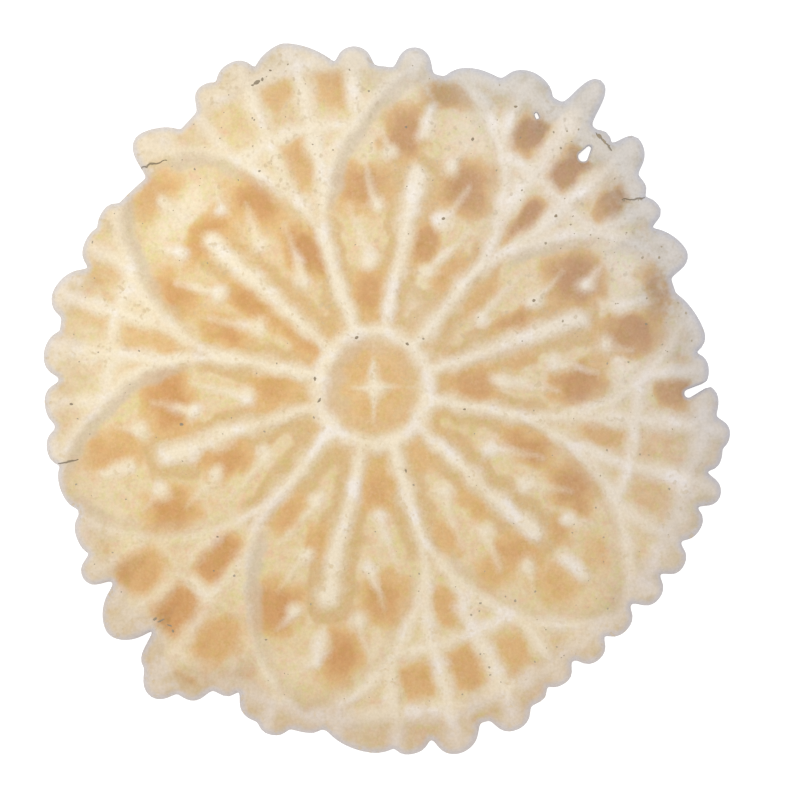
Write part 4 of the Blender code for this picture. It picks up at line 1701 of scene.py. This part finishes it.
    def skin(self) -> Skin:
        """Both faces and the rounded edge between them, as one closed mesh.

        The faces stand at the middle's height, plus or minus half the web and what is pressed on
        it. Near the edge that is rounded off as a quarter of an ellipse: the root of one less the
        square of the way left to where it is level. The edge's rows carry the ellipse on, out with
        the sine of their turn and down with its cosine, from the upper border to the lower.

        Returns:
            The mesh, with what the finish reads.
        """
        plan, triangles = self.trimmed()
        count = len(plan)
        x, y = plan.T
        top, rounded, inland = self.top(x, y), self.rounded(x, y), self.inland(x, y)
        under = self.web / 2 + self.heights(x, y, Side.LOWER)
        bottom = np.maximum(self.middle(x, y) - rounded * under, 0.0)

        edges = self.border(triangles, count)
        on_border, edges = np.unique(edges, return_inverse=True)
        edges = edges.reshape(-1, 2)
        inner = plan[on_border]
        outer = self.carried(inner, 0.0)
        centre = (top[on_border] + bottom[on_border]) / 2
        half = (top[on_border] - bottom[on_border]) / 2
        first = math.asin(1 - 1 / self.shoulder)
        turns = first + (math.pi - 2 * first) * np.arange(1, self.edge_rows) / self.edge_rows
        out = (np.sin(turns) - math.sin(first)) / (1 - math.sin(first))
        down = np.cos(turns) / math.cos(first)
        rows = [
            np.column_stack([inner + o * (outer - inner), centre + d * half])
            for o, d in zip(out, down)
        ]
        row = np.arange(len(on_border))
        between_rows = [2 * count + k * len(row) + row for k in range(len(rows))]
        numbers = [on_border, *between_rows, on_border + count]
        a, b = edges.T
        side = [
            np.stack(corners, axis=1)
            for high, low in zip(numbers, numbers[1:])
            for corners in ((high[a], low[a], low[b]), (high[a], low[b], high[b]))
        ]
        faces = np.concatenate([triangles, triangles[:, ::-1] + count, *side])
        layers = [np.column_stack([plan, top]), np.column_stack([plan, bottom]), *rows]
        points = np.concatenate(layers)
        # How far round the edge each row is: how much painted shade it takes.
        turned = [np.full(len(row), 1 - (1 - o) / self.shoulder) for o in out]
        edge = np.concatenate([1 - inland, 1 - inland, *turned])
        return Skin(points, faces, self.finish_values(points, edge))

    def build(self) -> bpy.types.Object:
        """Makes the wafer and dresses it.

        Returns:
            The new object.
        """
        piece = self.skin().made("wafer", True)
        piece.data.materials.append(self.finish.made())
        return piece

    def browned(self, x: Array, y: Array) -> Array:
        """How deeply the floor is browned at each point, were it not for the ridges."""
        patches = Patches(self.pattern, PETAL_POCKETS, GAP_POCKETS, (HUB_POCKET,))
        return np.minimum(patches.at(x, y), self.brownest)

    def finish_values(self, points: Array, edge: Array) -> dict[str, Array]:
        """What the finish reads at each point: paleness, browning, the knobs, the brim and the edge.

        Args:
            points: The points of the skin.
            edge: How far round the edge each is.

        Returns:
            The values by their labels.
        """
        x, y = points[:, 0], points[:, 1]
        _, pale, skirt = self.pressed(x, y)
        knob, toast = self.rim.knobbiness(x, y), self.browned(x, y)
        frost = Patches(self.pattern, PETAL_FROST, GAP_FROST).at(x, y)

        # Painted shade: skirts below nought deepen on the side of each rim towards the lamp.
        least, more = self.shaded
        turned = np.clip(self.pattern.facing(x, y, self.shaded_side), 0, 1)
        skirt = np.where(skirt < 0, skirt * (least + more * turned), skirt)
        middle, reach = self.white_share
        pale = pale * (middle + reach * self.whitening.at(x, y)) * (1 + np.minimum(frost, 0))
        steep, start = self.pale_over_brown
        bared = (1 - eased(steep * pale + start)) * (1 - self.knob_over_brown * knob)
        bearings, shares = zip(*BRIM_SHADE)
        around = np.degrees(np.arctan2(y, x))
        brim = 1 - between(self.rim.depth(x, y), *self.brim)
        return {
            "pale": pale,
            "brim": brim * np.interp(around, bearings, shares, period=FULL_TURN),
            "toast": toast * bared,
            "frost": np.clip(frost, 0, 1) * np.clip(1 - toast, 0, 1),
            "skirt": skirt * (1 - knob),
            "knob": knob,
            "edge": edge,
        }


# Char ---------------------------------------------------------------------------------------------


@dataclass(frozen=True)
class Fleck:
    """A crumb of char: its place in plan, its half length and half width, and its bearing."""

    x: float
    y: float
    half_length: float
    half_width: float
    bearing: float = 0.0


@dataclass
class CharFlecks:
    """Crumbs of char baked into the upper face, as one joined mesh of small lenses.

    Attributes:
        wafer: The wafer that they lie on.
        placed: The larger crumbs.
        scattered: How many smaller ones are strewn about.
        sizes: Half length of the smallest and of the largest of those.
        corners: Corners of a lens.
        sunk, proud: How deep its corners lie, and how far its middle stands out.
        seed: Start of the random draws.
        tries: How many places are drawn for each small crumb.
        reach, inner, hole_clear: How far out they are drawn, and how far inside the rim and from a
            hole they are kept.
        outer, least_inside: How far out their chance begins to grow and is full, and the least.
        grey_way, grey_span, least_warm: The same for the bearing in which the wafer gets greyer.
        browned: How brown the floor is where they begin to be fewer, and where there are none.
        leaning: Power by which their sizes lean towards the smallest.
        slimmest: Least width as a share of the length.
        uneven: Least and most distance of a corner, as a share of its ellipse's.
        finish: What the crumbs are dressed in.
    """

    wafer: Wafer
    placed: tuple[Fleck, ...] = (
        Fleck(-21.1, 55.4, 0.75, 0.4, 30), Fleck(-20.2, 55.9, 0.4, 0.25, 80),
        Fleck(-21.9, 54.8, 0.35, 0.2, 10), Fleck(-18.7, 57.5, 0.3, 0.2, 0),
        Fleck(-15.5, 58.6, 0.28, 0.2, 50), Fleck(-38.7, -42.4, 0.8, 0.22, 205),
        Fleck(-37.1, -43.2, 0.6, 0.2, 160), Fleck(-36.4, -44.3, 0.4, 0.25, 120),
        Fleck(-39.6, -42.0, 0.45, 0.3, 30), Fleck(-34.9, -6.7, 0.42, 0.34, 0),
        Fleck(-3.1, 9.0, 0.42, 0.28, 20), Fleck(6.1, 7.9, 0.4, 0.26, 150),
        Fleck(16.5, -4.0, 0.34, 0.2, 10), Fleck(5.9, -15.2, 0.45, 0.22, 110),
        Fleck(18.0, 45.1, 0.4, 0.3, 40), Fleck(25.8, 50.9, 0.34, 0.24, 0),
        Fleck(26.7, 45.4, 0.3, 0.22, 60), Fleck(5.9, 47.3, 0.3, 0.24, 0),
        Fleck(41.0, 45.7, 0.7, 0.5, 130), Fleck(41.9, 44.7, 0.75, 0.3, 130),
        Fleck(42.9, 44.0, 0.5, 0.25, 150), Fleck(49.5, 11.5, 0.3, 0.22, 0),
        Fleck(45.4, 34.0, 0.35, 0.28, 0), Fleck(-28.3, -27.1, 0.26, 0.2, 0),
        Fleck(-29.0, -33.3, 0.26, 0.2, 0), Fleck(-19.5, -45.8, 0.3, 0.2, 0),
        Fleck(-54.8, -3.0, 0.34, 0.24, 0), Fleck(-10.6, 1.6, 0.5, 0.3, 80),
        Fleck(-9.8, -2.3, 0.6, 0.25, 60), Fleck(12.7, 30.6, 0.4, 0.3, 20),
        Fleck(29.1, 15.8, 0.35, 0.28, 30), Fleck(33.1, 31.1, 0.35, 0.3, 0),
    )
    scattered: int = 220
    sizes: Point = (0.12, 0.32)
    corners: int = 8
    sunk: float = 0.01
    proud: float = 0.09
    seed: int = 5
    tries: int = 12
    reach: float = 60.0
    inner: float = 1.2
    hole_clear: float = 0.8
    outer: Point = (25.0, 58.0)
    least_inside: float = 0.25
    grey_way: float = 37.815
    grey_span: Point = (-50.0, 50.0)
    least_warm: float = 0.35
    browned: Point = (0.15, 0.5)
    leaning: float = 2.5
    slimmest: float = 0.6
    uneven: Point = (0.75, 1.15)
    finish: CharFinish = CharFinish()

    def build(self) -> bpy.types.Object:
        """Makes the crumbs and dresses them.

        Returns:
            The new object.
        """
        piece = self.skin().made("char_flecks", False)
        piece.data.materials.append(self.finish.made())
        return piece

    def strewn(self) -> Array:
        """Places, sizes and bearings of all the crumbs, a row each.

        The small ones are drawn evenly over the wafer, and kept the likelier the farther out they
        lie and the greyer the wafer is there, but not in the browned pockets. Their sizes lean
        towards the smallest.

        Returns:
            For each crumb its two coordinates in plan, half length, half width and bearing.
        """
        draw = np.random.default_rng(self.seed)
        tries = self.tries * self.scattered
        radius = self.reach * np.sqrt(draw.uniform(0, 1, tries))
        bearing = draw.uniform(0, 2 * math.pi, tries)
        x, y = radius * np.cos(bearing), radius * np.sin(bearing)
        way = polar(1, self.grey_way)
        greyness = between(x * way[0] + y * way[1], *self.grey_span)
        chance = self.least_inside + (1 - self.least_inside) * between(radius, *self.outer)
        chance *= self.least_warm + (1 - self.least_warm) * greyness
        chance *= 1 - between(self.wafer.browned(x, y), *self.browned)
        kept = (draw.uniform(0, 1, tries) < chance) & (self.wafer.rim.depth(x, y) > self.inner)
        for hole in self.wafer.rim.holes:
            kept &= hole.clearance(x, y) > self.hole_clear
        kept = np.flatnonzero(kept)[: self.scattered]
        low, high = self.sizes
        size = low + (high - low) * draw.uniform(0, 1, len(kept)) ** self.leaning
        slim = size * draw.uniform(self.slimmest, 1, len(kept))
        turn = draw.uniform(0, FULL_TURN, len(kept))
        small = np.column_stack([x[kept], y[kept], size, slim, turn])
        return np.concatenate([[astuple(fleck) for fleck in self.placed], small])

    def skin(self) -> Skin:
        """The crumbs as double pyramids whose corners follow the wafer's upper face.

        A corner's distance from the middle is that of an ellipse at its angle, made uneven. The
        corners are sunk below the face, the tip stands out of it, and the other tip is as far below.

        Returns:
            The mesh, with how charred each crumb is.
        """
        rows = self.strewn()
        count, corners = len(rows), self.corners
        draw = np.random.default_rng(self.seed + 1)
        angle = 2 * math.pi * np.arange(corners) / corners
        uneven = draw.uniform(*self.uneven, (count, corners))
        along = rows[:, 2:3] * np.cos(angle) * uneven
        across = rows[:, 3:4] * np.sin(angle) * uneven
        turn = np.radians(rows[:, 4:5])
        x = rows[:, 0:1] + along * np.cos(turn) - across * np.sin(turn)
        y = rows[:, 1:2] + along * np.sin(turn) + across * np.cos(turn)
        x, y = (np.column_stack([v, rows[:, k], rows[:, k]]) for k, v in enumerate((x, y)))
        z = self.wafer.top(x.ravel(), y.ravel()).reshape(x.shape)
        z[:, :corners] -= self.sunk
        z[:, corners] += self.proud
        z[:, corners + 1] -= self.sunk + self.proud
        ring, after = np.arange(corners), np.roll(np.arange(corners), -1)
        upper = np.column_stack([ring, after, np.full(corners, corners)])
        lower = np.column_stack([after, ring, np.full(corners, corners + 1)])
        lens = np.concatenate([upper, lower])
        faces = (lens[None] + (corners + 2) * np.arange(count)[:, None, None]).reshape(-1, 3)
        char = np.repeat((np.arange(count) < len(self.placed)).astype(float), corners + 2)
        return Skin(np.stack([x, y, z], axis=-1).reshape(-1, 3), faces, {"char": char})


# The studio ---------------------------------------------------------------------------------------


@dataclass(frozen=True)
class Studio:
    """A pale floor, soft light and a camera that looks straight down.

    Attributes:
        aim: Where the camera looks, in plan.
        view_width: Width of what it sees, at the wafer's upper face.
        lens, sensor: Its focal length and the width of its sensor.
        clip: Nearest and farthest that it sees, in metres.
        floor_size, floor_shade, floor_glow: Side, greyness and glow of the floor.
        floor_rough, floor_gloss: Its roughness and specular level.
        sky: Brightness of the sky.
        key_power, key_size, key_place: Power, size and place of the lamp, in watts and metres.
    """

    aim: Point = (4.82, -2.28)
    view_width: float = 145.04
    lens: float = 120.0
    sensor: float = 36.0
    clip: Point = (0.01, 100.0)
    floor_size: float = 6000.0
    floor_shade: float = 0.55
    floor_glow: float = 0.7
    floor_rough: float = 0.9
    floor_gloss: float = 0.1
    sky: float = 0.835
    key_power: float = 3.6
    key_size: float = 0.7
    key_place: tuple[float, float, float] = (-0.17, 0.15, 1.0)

    def camera(self, height: float) -> None:
        """Hangs the camera so that the view is as wide as asked at the given height.

        Args:
            height: The height.
        """
        data = bpy.data.cameras.new("camera")
        data.lens, data.sensor_width = self.lens, self.sensor
        data.clip_start, data.clip_end = self.clip
        camera = bpy.data.objects.new("camera", data)
        away = self.view_width * self.lens / self.sensor
        camera.location = [v * MM for v in (*self.aim, height + away)]
        bpy.context.scene.collection.objects.link(camera)
        bpy.context.scene.camera = camera

    def floor(self) -> None:
        """Lays a pale matte floor under the wafer."""
        half = self.floor_size / 2
        corners = np.array([(-half, -half, 0), (half, -half, 0), (half, half, 0), (-half, half, 0)])
        floor = Skin(corners, np.array([[0, 1, 2, 3]]), {}).made("floor", False)
        bench = NodeBench("floor_finish")
        bench.join(bench.shader.inputs["Base Color"], (*[self.floor_shade] * 3, 1))
        bench.join(bench.shader.inputs["Emission Color"], (1, 1, 1, 1))
        bench.join(bench.shader.inputs["Emission Strength"], self.floor_glow)
        bench.join(bench.shader.inputs["Roughness"], self.floor_rough)
        bench.join(bench.shader.inputs["Specular IOR Level"], self.floor_gloss)
        floor.data.materials.append(bench.material)

    def lights(self) -> None:
        """A bright even sky, and a broad soft lamp overhead, a little to the upper left."""
        world = bpy.data.worlds.new("sky")
        world.use_nodes = True
        background = world.node_tree.nodes["Background"]
        background.inputs["Color"].default_value = (1, 1, 1, 1)
        background.inputs["Strength"].default_value = self.sky
        bpy.context.scene.world = world
        data = bpy.data.lights.new("key", "AREA")
        data.shape, data.size, data.energy = "DISK", self.key_size, self.key_power
        key = bpy.data.objects.new("key", data)
        key.location = self.key_place
        key.rotation_mode = "QUATERNION"
        key.rotation_quaternion = (-key.location).to_track_quat("-Z", "Y")
        bpy.context.scene.collection.objects.link(key)

    def set_up(self, height: float) -> None:
        """Readies the whole studio and shows colours as they are.

        Args:
            height: Height of the wafer's upper face.
        """
        self.camera(height)
        self.floor()
        self.lights()
        bpy.context.scene.view_settings.view_transform = "Standard"


def report(piece: bpy.types.Object) -> None:
    """Logs a piece's name and size."""
    LOG.info("%s: %d points, %d faces", piece.name, len(piece.data.vertices), len(piece.data.polygons))


def main() -> None:
    """Builds the wafer, dresses it, and sets up the studio."""
    logging.basicConfig(level=logging.INFO, format="%(name)s: %(message)s")
    low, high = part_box(NODE)
    wafer = Wafer(thickness=(high.z - low.z) / MM)
    piece = wafer.build()
    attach(piece, BODY)
    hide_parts(NODE)
    report(piece)
    char = CharFlecks(wafer).build()
    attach(char, BODY)
    report(char)
    Studio().set_up(high.z / MM)


if __name__ == "__main__":
    main()
